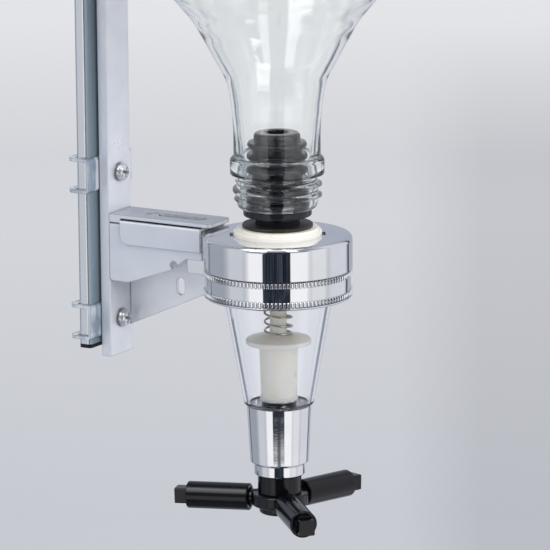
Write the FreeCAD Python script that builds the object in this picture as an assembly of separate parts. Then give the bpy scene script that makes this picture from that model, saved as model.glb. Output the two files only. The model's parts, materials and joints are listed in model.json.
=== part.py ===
import FreeCAD, Part
import math
import os

# Lengths are in millimetres. The pieces are drawn about the dispenser's upright axis, with height 0
# at the cap's top face and the wall towards +Y. Each is then moved so that the origin lies on the
# wall, midway between the two wall fixings.

# Rail and its wall fixings
rail_width = 22.0
rail_depth = 4.5
rail_wall = 1.2
rail_corner = 1.3
rail_foot = -39.8
rail_above_fixing = 14.0
lower_fixing_height = 110.0
fixing_spacing = 290.0
fixing_hole_radius = 2.3
access_hole_radius = 4.6
spacer_radius = 8.0
spacer_length = 9.0
plug_head = 1.2
plug_insert = 7.0

# Clips, strap and clip screws
clip_width = 25.0
clip_height = 11.0
clip_sheet = 1.0
clip_depth = 8.5
clip_tip_radius = 3.0
clip_bend_radius = 1.4
clip_gap = 0.15
lower_clip_height = -32.5
clip_spacing = 46.8
top_clip_height = 330.0
strap_width = 13.0
strap_depth = 3.5
strap_foot = -44.0
strap_above_clip = 36.0
strap_edge = 0.4
screw_radius = 1.5
screw_head_radius = 3.0
screw_head_height = 2.1
screw_head_round = 1.2

# Arms, as folded sheet
reach = 57.5
arm_sheet = 1.2
arm_fold_radius = 1.6
cover_sheet = 1.0
cover_depth = 6.6
cover_fold_radius = 1.2
cover_corner_radius = 3.0
cover_setback = 4.5
plate_overlap = 2.5
plate_corner_radius = 2.0
plate_rise = 0.8
plate_gap = 0.3
slide_gap = 0.1
arm_end_gap = 0.55
slot_width = 4.0
slot_round = 0.999
slot_inner_end = 25.8
slot_outer_end = 47.4
stud_radius = 1.9
stud_head_radius = 3.2
stud_head_height = 2.0
stud_to_slot_end = 0.3
left_panel_root_depth = 19.3
left_panel_root_length = 7.0
left_panel_notch_reach = 35.2
left_panel_notch_depth = 13.9
left_panel_nose_reach = 29.4
left_panel_nose_depth = 9.8
left_panel_root_round = 6.0
small_corner = 1.2
left_hole_radius = 1.3
left_hole_drop = 12.1
right_panel_root_depth = 35.7
right_panel_nose_depth = 20.6
right_slot_reach = 38.7
right_slot_height = -21.6
right_slot_width = 3.0
right_slot_length = 5.6
upper_arm_level = 352.0
upper_panel_root_depth = 14.0
upper_panel_nose_depth = 9.8

# Tongues that slide in the arms
tongue_side_gap = 0.5
tongue_depth = 5.1
tongue_tail = 3.8
lug_reach = 30.0
lug_depth = 12.6

# Cap, ring and inlet
cap_radius = 23.05
cap_height = 10.4
cap_wall = 2.1
cap_plate = 2.0
cap_edge_radius = 1.5
cap_seam = 0.3
ring_height = 9.0
ring_wall = 1.6
ring_lip = 2.1
ring_spigot_height = 5.7
thread_gap = 0.1
knurl_band = 1.6
knurl_relief = 0.15
notch_width = 5.0
notch_depth = 0.9
notch_angle = -58.0
collar_radius = 13.7
collar_step_radius = 12.6
collar_step_height = 1.4
collar_height = 2.4
collar_flange_radius = 16.5
collar_flange_height = 2.1
collar_tube_wall = 2.0
fit_gap = 0.1
snug_gap = 0.05
inlet_plate_height = 2.5
inlet_plate_level = -11.5
valve_bore_radius = 3.0
gasket_height = 1.0
gasket_width = 3.4

# Measuring chamber
chamber_top_radius = 16.9
chamber_foot_radius = 10.8
chamber_foot = -53.5
chamber_wall = 1.6
chamber_flange_height = 2.3
chamber_floor = 1.8
chamber_neck_radius = 8.6
chamber_neck_length = 7.0
outlet_hole_radius = 4.0
seal_gap = 0.15

# Plunger, valves and spring
press_travel = 5.2
stop_gap = 0.1
pilot_radius = 1.5
pilot_length = 6.3
plunger_stem_radius = 2.65
inlet_valve_radius = 3.5
inlet_valve_height = 1.2
plunger_flange_level = -31.7
plunger_flange_radius = 10.1
plunger_flange_drop = 1.0
plunger_rim = 1.5
plunger_neck_drop = 0.6
spring_seat_radius = 5.2
plunger_body_radius = 6.0
plunger_foot_radius = 5.6
plunger_bead_radius = 5.85
plunger_bead_height = 1.3
outlet_seal_radius = 5.4
outlet_seal_height = 1.0
push_stem_radius = 2.0
push_stem_socket = 12.0
spring_wire_radius = 0.35
spring_outer_radius = 4.6
spring_turns = 6.5
spring_end_pitch = 1.2

# Nozzle, spout tube and lever
nozzle_top_radius = 10.06
nozzle_foot_radius = 9.1
nozzle_taper_length = 18.1
nozzle_gap = 0.2
nozzle_chamfer = 0.7
nozzle_end_radius = 7.9
nozzle_end_length = 3.8
nozzle_end_chamfer = 0.6
spout_radius = 6.8
spout_bore_radius = 4.6
spout_stop_gap = 0.4
spout_visible = 5.65
spout_journal_radius = 5.6
spout_lip_radius = 6.4
spout_lip_height = 2.4
spider_height = 4.0
spider_rise = 3.7
spider_web = 1.2
spider_root = 0.5
spider_hub_wall = 1.1
hub_radius = 8.9
hub_height = 4.0
hub_edge_radius = 0.8
hub_end_play = 0.1
lever_turn = 104.8
lever_arms = 3
lever_droop = 1.6
arm_neck_radius = 2.6
arm_journal_radius = 3.1
arm_journal_start = 10.0
sleeve_start = 9.6
sleeve_length = 20.15
sleeve_radius = 4.25
sleeve_end_bore_radius = 3.5
sleeve_end_bore_depth = 1.6
sleeve_edge_radius = 0.4
nub_side = 4.9
nub_corner = 0.5
nub_length = 3.9

# Bottle and stopper
bottle_lip_height = 8.5
bottle_length = 288.0
bottle_body_radius = 40.0
bottle_wall = 2.6
bottle_bore_radius = 10.0
finish_radius = 12.9
finish_height = 15.8
bead_radius = 14.4
bead_height = 6.2
neck_radius = 13.4
neck_straight = 12.2
flare_radius = 26.0
flare_angle = 30.0
ridge_height = 67.5
shoulder_angle = 40.0
heel_radius = 6.0
punt_radius = 26.0
punt_depth = 5.0
washer_radius = 10.9
washer_height = 1.1
stopper_flange_radius = 10.6
stopper_flange_height = 2.4
stopper_core_radius = 8.0
stopper_top_radius = 7.0
stopper_top = 31.2
stopper_top_length = 2.6
stopper_bore_radius = 3.5
rib_count = 4
rib_pitch = 3.45
rib_height = 1.4
rib_top_radius = 8.9
rib_fit = 0.1
spigot_radius = 6.9
spigot_bore_radius = 4.5
spigot_depth = 7.0

# Support that presses on the bottle's base
base_gap = 0.1
pad_radius = 17.0
pad_height = 3.0
cup_radius = 20.0
cup_plate = 3.0
cup_rim_height = 2.0
cup_rim_width = 2.0
cup_boss_radius = 7.0
cup_boss_height = 8.0
rod_radius = 3.0
rod_lift_room = 12.0
eye_radius = 8.0
eye_depth = 10.0
knob_radius = 8.0
knob_height = 12.0
knob_foot_radius = 4.8
knob_top_radius = 4.4
knob_waist_round = 3.0
knob_top_round = 2.0
support_wire_radius = 0.5
support_spring_radius = 6.0
support_turns = 8.0
support_end_pitch = 1.6
support_seat_gap = 0.1

# Places that follow from the sizes above
strap_head = top_clip_height + strap_above_clip
strap_back = reach + strap_depth
rail_front = strap_back + clip_sheet + clip_gap
rail_back = rail_front + rail_depth
wall = rail_back + spacer_length
rail_head = lower_fixing_height + fixing_spacing + rail_above_fixing
clip_heights = {
    "clip_lower": lower_clip_height,
    "clip_middle": lower_clip_height + clip_spacing,
    "clip_top": top_clip_height,
}
arm_half = strap_width / 2
arm_end = cap_radius + arm_end_gap
plate_end = cap_radius - plate_overlap
plate_top = plate_rise + arm_sheet
cover_top = plate_rise - plate_gap
cover_under = cover_top - cover_sheet
channel_top = cover_under - slide_gap
channel_under = channel_top - arm_sheet
tongue_top = channel_under - slide_gap
tongue_half = arm_half - arm_sheet - tongue_side_gap
tongue_under = tongue_top - tongue_depth
stud_reach = slot_outer_end - stud_radius - stud_to_slot_end
tongue_end = stud_reach + tongue_tail
cap_foot = -cap_height
ring_top = cap_foot - cap_seam
ring_foot = ring_top - ring_height + cap_seam
ring_bore = cap_radius - cap_wall - thread_gap - ring_wall
lip_top = ring_foot + ring_lip
flange_top = lip_top + chamber_flange_height
gasket_top = flange_top + gasket_height
plate_under = inlet_plate_level - inlet_plate_height
inner_radius = ring_bore - fit_gap
lip_bore = chamber_top_radius + fit_gap
floor_top = chamber_foot + seal_gap
seal_foot = floor_top + seal_gap
plunger_foot = seal_foot + outlet_seal_height
neck_foot = chamber_foot - chamber_neck_length
nozzle_top = chamber_foot - nozzle_gap
nozzle_step = nozzle_top - nozzle_taper_length
nozzle_foot = nozzle_step - nozzle_chamfer - nozzle_end_length
nozzle_shoulder = neck_foot - spout_stop_gap
spout_top = nozzle_shoulder - press_travel - spout_stop_gap
spout_shoulder = nozzle_foot - spout_visible
hub_top = spout_shoulder - hub_end_play
hub_foot = hub_top - hub_height
lip_shoulder = hub_foot - hub_end_play
spout_foot = lip_shoulder - spout_lip_height
inlet_valve_top = plate_under - press_travel - stop_gap
inlet_valve_foot = inlet_valve_top - inlet_valve_height
lever_axis_height = (hub_top + hub_foot) / 2
spigot_hole = spigot_radius + fit_gap
washer_foot = collar_height
flange_foot = bottle_lip_height - stopper_flange_height - snug_gap
bead_top = bottle_lip_height + finish_height
bottle_base = bottle_lip_height + bottle_length
pad_foot = bottle_base + base_gap
cup_foot = pad_foot + pad_height
boss_top = cup_foot + cup_plate + cup_boss_height
eye_top = upper_arm_level + tongue_top
eye_foot = eye_top - eye_depth
knob_foot = eye_top + rod_lift_room
origin = FreeCAD.Vector(0, wall, lower_fixing_height + fixing_spacing / 2)


# Drawing helpers

def vector(x, y, z):
    return FreeCAD.Vector(x, y, z)


def rounded_wire(points, place):
    """A closed wire through flat points (u, v) or (u, v, corner radius), set in space by place."""
    count = len(points)
    starts = []
    edges = []
    for index, point in enumerate(points):
        radius = point[2] if len(point) > 2 else 0.0
        before = points[index - 1]
        after = points[(index + 1) % count]
        if radius == 0.0:
            starts.append((place(point[0], point[1]), None, place(point[0], point[1])))
            continue
        into = (before[0] - point[0], before[1] - point[1])
        out = (after[0] - point[0], after[1] - point[1])
        into_length = math.hypot(*into)
        out_length = math.hypot(*out)
        into = (into[0] / into_length, into[1] / into_length)
        out = (out[0] / out_length, out[1] / out_length)
        half = math.acos(max(-1.0, min(1.0, into[0] * out[0] + into[1] * out[1]))) / 2
        back = radius / math.tan(half)
        middle = (into[0] + out[0], into[1] + out[1])
        middle_length = math.hypot(*middle)
        depth = (radius / math.sin(half) - radius) / middle_length
        first = place(point[0] + into[0] * back, point[1] + into[1] * back)
        peak = place(point[0] + middle[0] * depth, point[1] + middle[1] * depth)
        last = place(point[0] + out[0] * back, point[1] + out[1] * back)
        starts.append((first, peak, last))
    for index, (first, peak, last) in enumerate(starts):
        if peak is not None:
            edges.append(Part.Arc(first, peak, last).toShape())
        following = starts[(index + 1) % count][0]
        if last.distanceToPoint(following) > 1e-6:
            edges.append(Part.LineSegment(last, following).toShape())
    return Part.Wire(edges)


def turned(points):
    """A solid turned about the upright axis from (radius, height) points."""
    wire = rounded_wire(points, lambda radius, height: vector(radius, 0, height))
    return Part.Face(wire).revolve(vector(0, 0, 0), vector(0, 0, 1), 360)


def plate(points, low, high):
    """A flat plate with an (x, y) outline between two heights."""
    wire = rounded_wire(points, lambda x, y: vector(x, y, low))
    return Part.Face(wire).extrude(vector(0, 0, high - low))


def panel(points, left, right):
    """An upright panel with a (y, z) outline between two x planes."""
    wire = rounded_wire(points, lambda y, z: vector(left, y, z))
    return Part.Face(wire).extrude(vector(right - left, 0, 0))


def bar(points, near, far):
    """A bar along Y with an (x, z) outline between two y planes."""
    wire = rounded_wire(points, lambda x, z: vector(x, near, z))
    return Part.Face(wire).extrude(vector(0, far - near, 0))


def box(x, y, z):
    """A box from three (low, high) pairs."""
    size = [pair[1] - pair[0] for pair in (x, y, z)]
    return Part.makeBox(size[0], size[1], size[2], vector(x[0], y[0], z[0]))


def tube(outer, inner, low, high):
    return turned([(inner, low), (outer, low), (outer, high), (inner, high)])


def rod_along_y(radius, x, z, near, far):
    return Part.makeCylinder(radius, far - near, vector(x, near, z), vector(0, 1, 0))


def rod_along_z(radius, x, y, low, high):
    return Part.makeCylinder(radius, high - low, vector(x, y, low), vector(0, 0, 1))


def slot_cutter(low, high):
    """The long slot that both sheets of an arm share."""
    half = slot_width / 2
    corner = half * slot_round
    return plate([(-half, slot_inner_end, corner), (half, slot_inner_end, corner),
                  (half, slot_outer_end, corner), (-half, slot_outer_end, corner)], low, high)


# Rail and its fittings

def rail():
    def section(inset):
        half = rail_width / 2 - inset
        corner = max(rail_corner - inset, 0.2)
        front = rail_front + inset
        back = rail_back - inset
        return [(-half, front, corner), (half, front, corner), (half, back, corner), (-half, back, corner)]
    body = plate(section(0.0), rail_foot, rail_head).cut(plate(section(rail_wall), rail_foot, rail_head))
    for height in (lower_fixing_height, lower_fixing_height + fixing_spacing):
        body = body.cut(rod_along_y(fixing_hole_radius, 0, height, rail_front, rail_back))
        body = body.cut(rod_along_y(access_hole_radius, 0, height, rail_front, rail_front + rail_wall))
    return body


def rail_plug(end, direction):
    """A moulded plug: a head over the tube's end and a tongue inside it."""
    inset = rail_wall + fit_gap
    half = rail_width / 2
    head = plate([(-half, rail_front, rail_corner), (half, rail_front, rail_corner),
                  (half, rail_back, rail_corner), (-half, rail_back, rail_corner)],
                 min(end, end + direction * plug_head), max(end, end + direction * plug_head))
    inner = end - direction * plug_insert
    insert = box((-half + inset, half - inset), (rail_front + inset, rail_back - inset),
                 (min(end, inner), max(end, inner)))
    return head.fuse(insert).removeSplitter()


def wall_spacer(height):
    body = rod_along_y(spacer_radius, 0, height, rail_back, wall)
    return body.cut(rod_along_y(fixing_hole_radius, 0, height, rail_back, wall))


def clip(height):
    """A folded clip: a web behind the strap and two flanges that the rail passes through."""
    low = height - clip_height / 2
    high = height + clip_height / 2
    tip = strap_back + clip_depth
    bend = clip_bend_radius
    body = panel([(strap_back, low, bend), (tip, low), (tip, low + clip_sheet),
                  (strap_back + clip_sheet, low + clip_sheet, bend - clip_sheet),
                  (strap_back + clip_sheet, high - clip_sheet, bend - clip_sheet),
                  (tip, high - clip_sheet), (tip, high), (strap_back, high, bend)],
                 -clip_width / 2, clip_width / 2)
    half = clip_width / 2
    body = body.common(plate([(-half, strap_back), (half, strap_back),
                              (half, tip, clip_tip_radius), (-half, tip, clip_tip_radius)], low, high))
    room = rail_width / 2 + clip_gap
    body = body.cut(box((-room, room), (strap_back + clip_sheet, rail_back + clip_gap), (low, high)))
    return body.cut(rod_along_y(screw_radius + snug_gap, 0, height, strap_back, strap_back + clip_sheet))


def back_strap():
    half = strap_width / 2
    body = plate([(-half, reach, strap_edge), (half, reach, strap_edge),
                  (half, strap_back, strap_edge), (-half, strap_back, strap_edge)], strap_foot, strap_head)
    for height in clip_heights.values():
        body = body.cut(rod_along_y(screw_radius + snug_gap, 0, height, reach, strap_back))
    return body


def clip_screws():
    """Pan-head screws, each ending flush with its clip's inner face."""
    screw = turned([(0, 0), (screw_radius, 0), (screw_radius, strap_depth + clip_sheet),
                    (screw_head_radius, strap_depth + clip_sheet),
                    (screw_head_radius, strap_depth + clip_sheet + screw_head_height, screw_head_round),
                    (0, strap_depth + clip_sheet + screw_head_height)])
    screw.rotate(vector(0, 0, 0), vector(1, 0, 0), 90)
    screws = []
    for height in clip_heights.values():
        copy = screw.copy()
        copy.translate(vector(0, strap_back + clip_sheet, height))
        screws.append(copy)
    return Part.makeCompound(screws)


# Arms

def channel(left_outline, right_outline, level):
    """An inverted channel of folded sheet with its own outline for each side."""
    outer = arm_half
    inner = arm_half - arm_sheet
    foot = min(height for _, height, *_ in left_outline + right_outline)
    bend = arm_fold_radius
    sheet = bar([(-outer, foot), (-inner, foot), (-inner, channel_under, bend - arm_sheet),
                 (inner, channel_under, bend - arm_sheet), (inner, foot), (outer, foot),
                 (outer, channel_top, bend), (-outer, channel_top, bend)], arm_end, reach)
    left = sheet.common(panel(left_outline, -outer, 0))
    right = sheet.common(panel(right_outline, 0, outer))
    body = left.fuse(right).cut(slot_cutter(channel_under, channel_top)).removeSplitter()
    body.translate(vector(0, 0, level))
    return body


def lower_channel():
    notch = (left_panel_notch_reach, -left_panel_notch_depth)
    nose = -left_panel_nose_depth
    left = [(reach, channel_top), (reach, -left_panel_root_depth, small_corner),
            (reach - left_panel_root_length, -left_panel_root_depth, left_panel_root_round), notch,
            (left_panel_nose_reach, nose, small_corner), (arm_end, nose), (arm_end, channel_top)]
    right = [(reach, channel_top), (reach, -right_panel_root_depth),
             (arm_end, -right_panel_nose_depth, plate_corner_radius), (arm_end, channel_top)]
    body = channel(left, right, 0)
    hole_reach = left_panel_notch_reach - left_hole_radius
    body = body.cut(Part.makeCylinder(left_hole_radius, arm_sheet,
                                      vector(-arm_half, hole_reach, -left_hole_drop), vector(1, 0, 0)))
    half_width = right_slot_width / 2
    half_length = right_slot_length / 2
    corner = half_width * slot_round
    low = right_slot_height - half_length
    high = right_slot_height + half_length
    return body.cut(panel([(right_slot_reach - half_width, low, corner),
                           (right_slot_reach + half_width, low, corner),
                           (right_slot_reach + half_width, high, corner),
                           (right_slot_reach - half_width, high, corner)],
                          arm_half - arm_sheet, arm_half))


def upper_channel():
    side = [(reach, channel_top), (reach, -upper_panel_root_depth, plate_corner_radius),
            (arm_end, -upper_panel_nose_depth, plate_corner_radius), (arm_end, channel_top)]
    return channel(side, side, upper_arm_level)


def top_plate(level):
    """The arm's upper strip, with a thick root that rests on the channel behind the slide cover."""
    half = arm_half
    body = plate([(-half, reach), (half, reach), (half, plate_end, plate_corner_radius),
                  (-half, plate_end, plate_corner_radius)], plate_rise, plate_top)
    body = body.cut(slot_cutter(plate_rise, plate_top))
    root = box((-half, half), (reach - cover_setback + plate_gap, reach), (channel_top, plate_rise))
    body = body.fuse(root).removeSplitter()
    body.translate(vector(0, 0, level))
    return body


def slide_cover(level):
    """The folded cover that slides between the top plate and the channel."""
    inner = arm_half + slide_gap
    outer = inner + cover_sheet
    foot = cover_under - cover_depth
    near = arm_end
    far = reach - cover_setback
    fold = cover_fold_radius
    body = bar([(-outer, foot), (-inner, foot), (-inner, cover_under), (inner, cover_under),
                (inner, foot), (outer, foot), (outer, cover_top, fold), (-outer, cover_top, fold)], near, far)
    body = body.common(panel([(near, cover_top), (near, foot), (far, foot, cover_corner_radius),
                              (far, cover_top)], -outer, outer))
    body = body.cut(rod_along_z(stud_radius + snug_gap, 0, stud_reach, cover_under, cover_top))
    body.translate(vector(0, 0, level))
    return body


def guide_stud(level):
    """A headed stud up through the tongue, the channel's slot, the cover and the plate's slot."""
    length = plate_top - tongue_under - slide_gap * 3
    body = turned([(0, -stud_head_height, 0), (stud_head_radius, -stud_head_height, 0.6),
                   (stud_head_radius, 0), (stud_radius, 0), (stud_radius, length, 0.4), (0, length)])
    body.translate(vector(0, stud_reach, tongue_under + level))
    return body


def tongue(near, level):
    """The bar that slides inside an arm, with its hole for the stud."""
    body = box((-tongue_half, tongue_half), (near, tongue_end), (tongue_under, tongue_top))
    body = body.cut(rod_along_z(stud_radius + snug_gap, 0, stud_reach, tongue_under, tongue_top))
    body.translate(vector(0, 0, level))
    return body


# Cap, ring and inlet

def cap():
    """The cap casting, with the lug and tongue that carry it in the arm."""
    inner = cap_radius - cap_wall
    opening = collar_radius + fit_gap
    shell = turned([(opening, 0), (cap_radius, 0, cap_edge_radius), (cap_radius, cap_foot),
                    (inner, cap_foot), (inner, -cap_plate), (opening, -cap_plate)])
    for turn in (0, 180):
        notch = box((opening - notch_depth, opening + notch_depth),
                    (-notch_width / 2, notch_width / 2), (-cap_plate, 0))
        notch.rotate(vector(0, 0, 0), vector(0, 0, 1), notch_angle + turn)
        shell = shell.cut(notch)
    lug_root = cap_radius - cap_wall / 2
    lug = panel([(lug_root, tongue_top), (lug_reach, tongue_top), (lug_reach, tongue_top - lug_depth, 0.8),
                 (lug_root, tongue_top - lug_depth)], -tongue_half, tongue_half)
    below = tube(cap_radius + arm_end_gap, 1.0, tongue_top - lug_depth, cap_foot)
    core = rod_along_z(cap_radius - cap_wall / 2, 0, 0, tongue_top - lug_depth, 0)
    lug = lug.cut(below).cut(core)
    return shell.fuse([lug, tongue(lug_reach - cap_wall, 0)]).removeSplitter()


def knurled_ring():
    thread = cap_radius - cap_wall - thread_gap
    plain = cap_radius - knurl_relief
    return turned([(lip_bore, ring_foot), (cap_radius, ring_foot, 0.3),
                   (cap_radius, ring_foot + knurl_band), (plain, ring_foot + knurl_band),
                   (plain, ring_top - knurl_band), (cap_radius, ring_top - knurl_band),
                   (cap_radius, ring_top, 0.3), (thread, ring_top), (thread, ring_top + ring_spigot_height),
                   (ring_bore, ring_top + ring_spigot_height), (ring_bore, lip_top), (lip_bore, lip_top)])


def inlet_collar():
    flange_top_height = -cap_plate - snug_gap
    tube_radius = spigot_hole + collar_tube_wall
    return turned([(spigot_hole, inlet_plate_level), (tube_radius, inlet_plate_level),
                   (tube_radius, flange_top_height - collar_flange_height),
                   (collar_flange_radius, flange_top_height - collar_flange_height),
                   (collar_flange_radius, flange_top_height), (collar_radius, flange_top_height),
                   (collar_radius, collar_step_height, 0.4), (collar_step_radius, collar_step_height),
                   (collar_step_radius, collar_height, 0.3), (spigot_hole, collar_height)])


def inlet_plate():
    """The chamber's upper wall, with a skirt down to the gasket and the inlet valve's seat."""
    skirt = inner_radius - gasket_width
    return turned([(valve_bore_radius, plate_under), (skirt, plate_under), (skirt, gasket_top),
                   (inner_radius, gasket_top), (inner_radius, inlet_plate_level),
                   (valve_bore_radius, inlet_plate_level)])


def chamber_gasket():
    return tube(inner_radius, inner_radius - gasket_width, flange_top, gasket_top)


def chamber():
    """The clear measuring chamber: a flanged, tapered cup with a seat and a threaded neck."""
    wall_run = math.hypot(ring_foot - chamber_foot, chamber_top_radius - chamber_foot_radius)
    level_wall = chamber_wall * wall_run / (ring_foot - chamber_foot)
    slope = (chamber_top_radius - chamber_foot_radius) / (ring_foot - chamber_foot)
    mouth = chamber_top_radius - level_wall
    foot_inner = chamber_foot_radius - level_wall + slope * (floor_top - chamber_foot)
    return turned([(outlet_hole_radius, floor_top), (foot_inner, floor_top, 1.0),
                   (mouth, ring_foot), (mouth, flange_top), (inner_radius, flange_top),
                   (inner_radius, lip_top), (chamber_top_radius, lip_top), (chamber_top_radius, ring_foot),
                   (chamber_foot_radius, chamber_foot, 0.6), (chamber_neck_radius, chamber_foot),
                   (chamber_neck_radius, neck_foot), (chamber_neck_radius - chamber_wall, neck_foot),
                   (chamber_neck_radius - chamber_wall, floor_top - chamber_floor),
                   (outlet_hole_radius, floor_top - chamber_floor)])


def nozzle():
    outer_bore = chamber_neck_radius + snug_gap
    inner_bore = spout_radius + fit_gap
    return turned([(outer_bore, nozzle_top), (nozzle_top_radius, nozzle_top, 0.3),
                   (nozzle_foot_radius, nozzle_step),
                   (nozzle_end_radius, nozzle_step - nozzle_chamfer),
                   (nozzle_end_radius, nozzle_foot + nozzle_end_chamfer),
                   (nozzle_end_radius - nozzle_end_chamfer, nozzle_foot), (inner_bore, nozzle_foot),
                   (inner_bore, nozzle_shoulder), (outer_bore, nozzle_shoulder)])


# Pieces that the lever lifts

def plunger():
    """Pilot, stem, spring seat, flange and tapered body in one moulding, with a socket below."""
    flange = plunger_flange_level
    rim = flange - plunger_flange_drop
    under = rim - plunger_rim
    bead = plunger_foot + plunger_bead_height
    socket = push_stem_radius + snug_gap
    pilot_top = inlet_valve_top + pilot_length
    return turned([(0, pilot_top), (pilot_radius, pilot_top, 0.5), (pilot_radius, inlet_valve_foot),
                   (plunger_stem_radius, inlet_valve_foot), (plunger_stem_radius, flange),
                   (spring_seat_radius, flange), (plunger_flange_radius, rim, 0.4),
                   (plunger_flange_radius, under, 0.4), (plunger_body_radius, under - plunger_neck_drop),
                   (plunger_foot_radius, bead), (plunger_bead_radius, bead),
                   (plunger_bead_radius, plunger_foot), (socket, plunger_foot),
                   (socket, plunger_foot + push_stem_socket), (0, plunger_foot + push_stem_socket)])


def inlet_valve():
    return tube(inlet_valve_radius, pilot_radius + snug_gap, inlet_valve_foot, inlet_valve_top)


def outlet_seal():
    return tube(outlet_seal_radius, push_stem_radius + snug_gap, seal_foot, plunger_foot)


def push_stem():
    return rod_along_z(push_stem_radius, 0, 0, spider_foot(), plunger_foot + push_stem_socket)


def spider_foot():
    return spout_shoulder + spider_rise


def spout_tube():
    """The tube that slides in the nozzle, holds the lever, and has a spider for the push stem."""
    body = turned([(spout_bore_radius, spout_top), (spout_radius, spout_top, 0.3),
                   (spout_radius, spout_shoulder), (spout_journal_radius, spout_shoulder),
                   (spout_journal_radius, lip_shoulder), (spout_lip_radius, lip_shoulder),
                   (spout_lip_radius, spout_foot, 0.8), (spout_bore_radius, spout_foot)])
    low = spider_foot()
    high = low + spider_height
    hub_outer = push_stem_radius + snug_gap + spider_hub_wall
    webs = []
    for index in range(lever_arms):
        web = box((0, spout_bore_radius + spider_root), (-spider_web / 2, spider_web / 2), (low, high))
        web.rotate(vector(0, 0, 0), vector(0, 0, 1), lever_turn + 360 / lever_arms * index)
        webs.append(web)
    hub = rod_along_z(hub_outer, 0, 0, low, high)
    hole = rod_along_z(push_stem_radius + snug_gap, 0, 0, low, high)
    return body.fuse([hub] + webs).cut(hole).removeSplitter()


def along_arm(body, index):
    """Turn a piece drawn along +X, with its axis at height 0, on to a lever arm."""
    body.rotate(vector(0, 0, 0), vector(0, 1, 0), lever_droop)
    body.rotate(vector(0, 0, 0), vector(0, 0, 1), lever_turn + 360 / lever_arms * index)
    body.translate(vector(0, 0, lever_axis_height))
    return body


def turned_along_x(points):
    """A solid turned about +X from (distance, radius) points."""
    wire = rounded_wire(points, lambda x, radius: vector(x, 0, radius))
    return Part.Face(wire).revolve(vector(0, 0, 0), vector(1, 0, 0), 360)


def lever():
    bore = spout_journal_radius + snug_gap
    hub = turned([(bore, hub_foot), (hub_radius, hub_foot, hub_edge_radius),
                  (hub_radius, hub_top, hub_edge_radius), (bore, hub_top)])
    root = (bore + hub_radius) / 2
    journal_end = sleeve_start + sleeve_length
    for index in range(lever_arms):
        shank = turned_along_x([(root, 0), (root, arm_neck_radius), (arm_journal_start, arm_neck_radius),
                                (arm_journal_start, arm_journal_radius), (journal_end, arm_journal_radius),
                                (journal_end, 0)])
        half = nub_side / 2
        nub = bar([(-half, -half, nub_corner), (half, -half, nub_corner),
                   (half, half, nub_corner), (-half, half, nub_corner)], 0, nub_length)
        nub.rotate(vector(0, 0, 0), vector(0, 0, 1), -90)
        nub.translate(vector(journal_end, 0, 0))
        hub = hub.fuse(along_arm(shank.fuse(nub), index))
    return hub.removeSplitter()


def roller_sleeve(index):
    bore = arm_journal_radius + snug_gap
    end = sleeve_start + sleeve_length
    edge = sleeve_edge_radius
    mouth = end - sleeve_end_bore_depth
    return along_arm(turned_along_x([(sleeve_start, bore), (sleeve_start, sleeve_radius, edge),
                                     (end, sleeve_radius, edge), (end, sleeve_end_bore_radius),
                                     (mouth, sleeve_end_bore_radius), (mouth, bore)]), index)


# Springs

def coil_height(turn, turns, low, high, end_pitch):
    """Height along a coil whose pitch eases to end_pitch over the first and last turn."""
    middle_pitch = (high - low - end_pitch) / (turns - 1.0)
    if turn < 1.0:
        return low + end_pitch * turn + (middle_pitch - end_pitch) * turn * turn / 2
    if turn > turns - 1.0:
        return low + high - coil_height(turns - turn, turns, low, high, end_pitch)
    return low + (end_pitch + middle_pitch) / 2 + middle_pitch * (turn - 1.0)


def coil_point(turn, turns, radius, low, high, end_pitch):
    angle = 2 * math.pi * turn
    height = coil_height(turn, turns, low, high, end_pitch)
    return vector(radius * math.cos(angle), radius * math.sin(angle), height)


def biarc(start, start_way, end, end_way):
    """Two arcs that leave start along start_way and reach end along end_way."""
    chord = end - start
    ways = start_way + end_way
    a = 2 * (1 - start_way.dot(end_way))
    b = 2 * chord.dot(ways)
    c = -chord.dot(chord)
    length = (-b + math.sqrt(b * b - 4 * a * c)) / (2 * a)
    joint = (start + start_way * length + end - end_way * length) * 0.5
    arcs = []
    for foot, way, tip in ((start, start_way, joint), (end, end_way * -1, joint)):
        across = tip - foot
        side = across - way * across.dot(way)
        side.normalize()
        radius = across.dot(across) / (2 * across.dot(side))
        centre = foot + side * radius
        middle = (foot + tip) * 0.5 - centre
        middle.normalize()
        arcs.append((foot, centre + middle * radius, tip))
    first, second = arcs
    return [Part.Arc(*first).toShape(), Part.Arc(second[2], second[1], second[0]).toShape()]


def coil_spring(name, outer_radius, wire_radius, turns, low, high, end_pitch):
    """One unbroken wire, wound between two seats, on biarcs of a quarter turn each."""
    radius = outer_radius - wire_radius
    first = low + wire_radius
    last = high - wire_radius
    quarters = int(math.ceil(turns * 4))
    steps = [turns * index / quarters for index in range(quarters + 1)]
    step = 1e-5
    points = [coil_point(turn, turns, radius, first, last, end_pitch) for turn in steps]
    ways = []
    for turn in steps:
        ahead = coil_point(turn + step, turns, radius, first, last, end_pitch)
        behind = coil_point(turn - step, turns, radius, first, last, end_pitch)
        way = ahead - behind
        way.normalize()
        ways.append(way)
    edges = []
    for index in range(quarters):
        edges += biarc(points[index], ways[index], points[index + 1], ways[index + 1])
    path = Part.Wire(edges)
    section = Part.Wire([Part.Circle(points[0], ways[0], wire_radius).toShape()])
    body = path.makePipeShell([section], True, False)
    samples = 48
    line = [coil_point(index / samples, turns, radius, first, last, end_pitch)
            for index in range(int(turns * samples) + 1)]
    gap = min(line[i].distanceToPoint(line[j])
              for i in range(len(line)) for j in range(i + samples // 2, len(line))) - 2 * wire_radius
    ratio = body.Volume / (math.pi * wire_radius ** 2 * path.Length)
    print(name, "turns", turns, "least gap to itself %.2f mm" % gap, "volume ratio %.4f" % ratio)
    return body


def plunger_spring():
    return coil_spring("plunger_spring", spring_outer_radius, spring_wire_radius, spring_turns,
                       plunger_flange_level + stop_gap, plate_under - stop_gap, spring_end_pitch)


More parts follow.
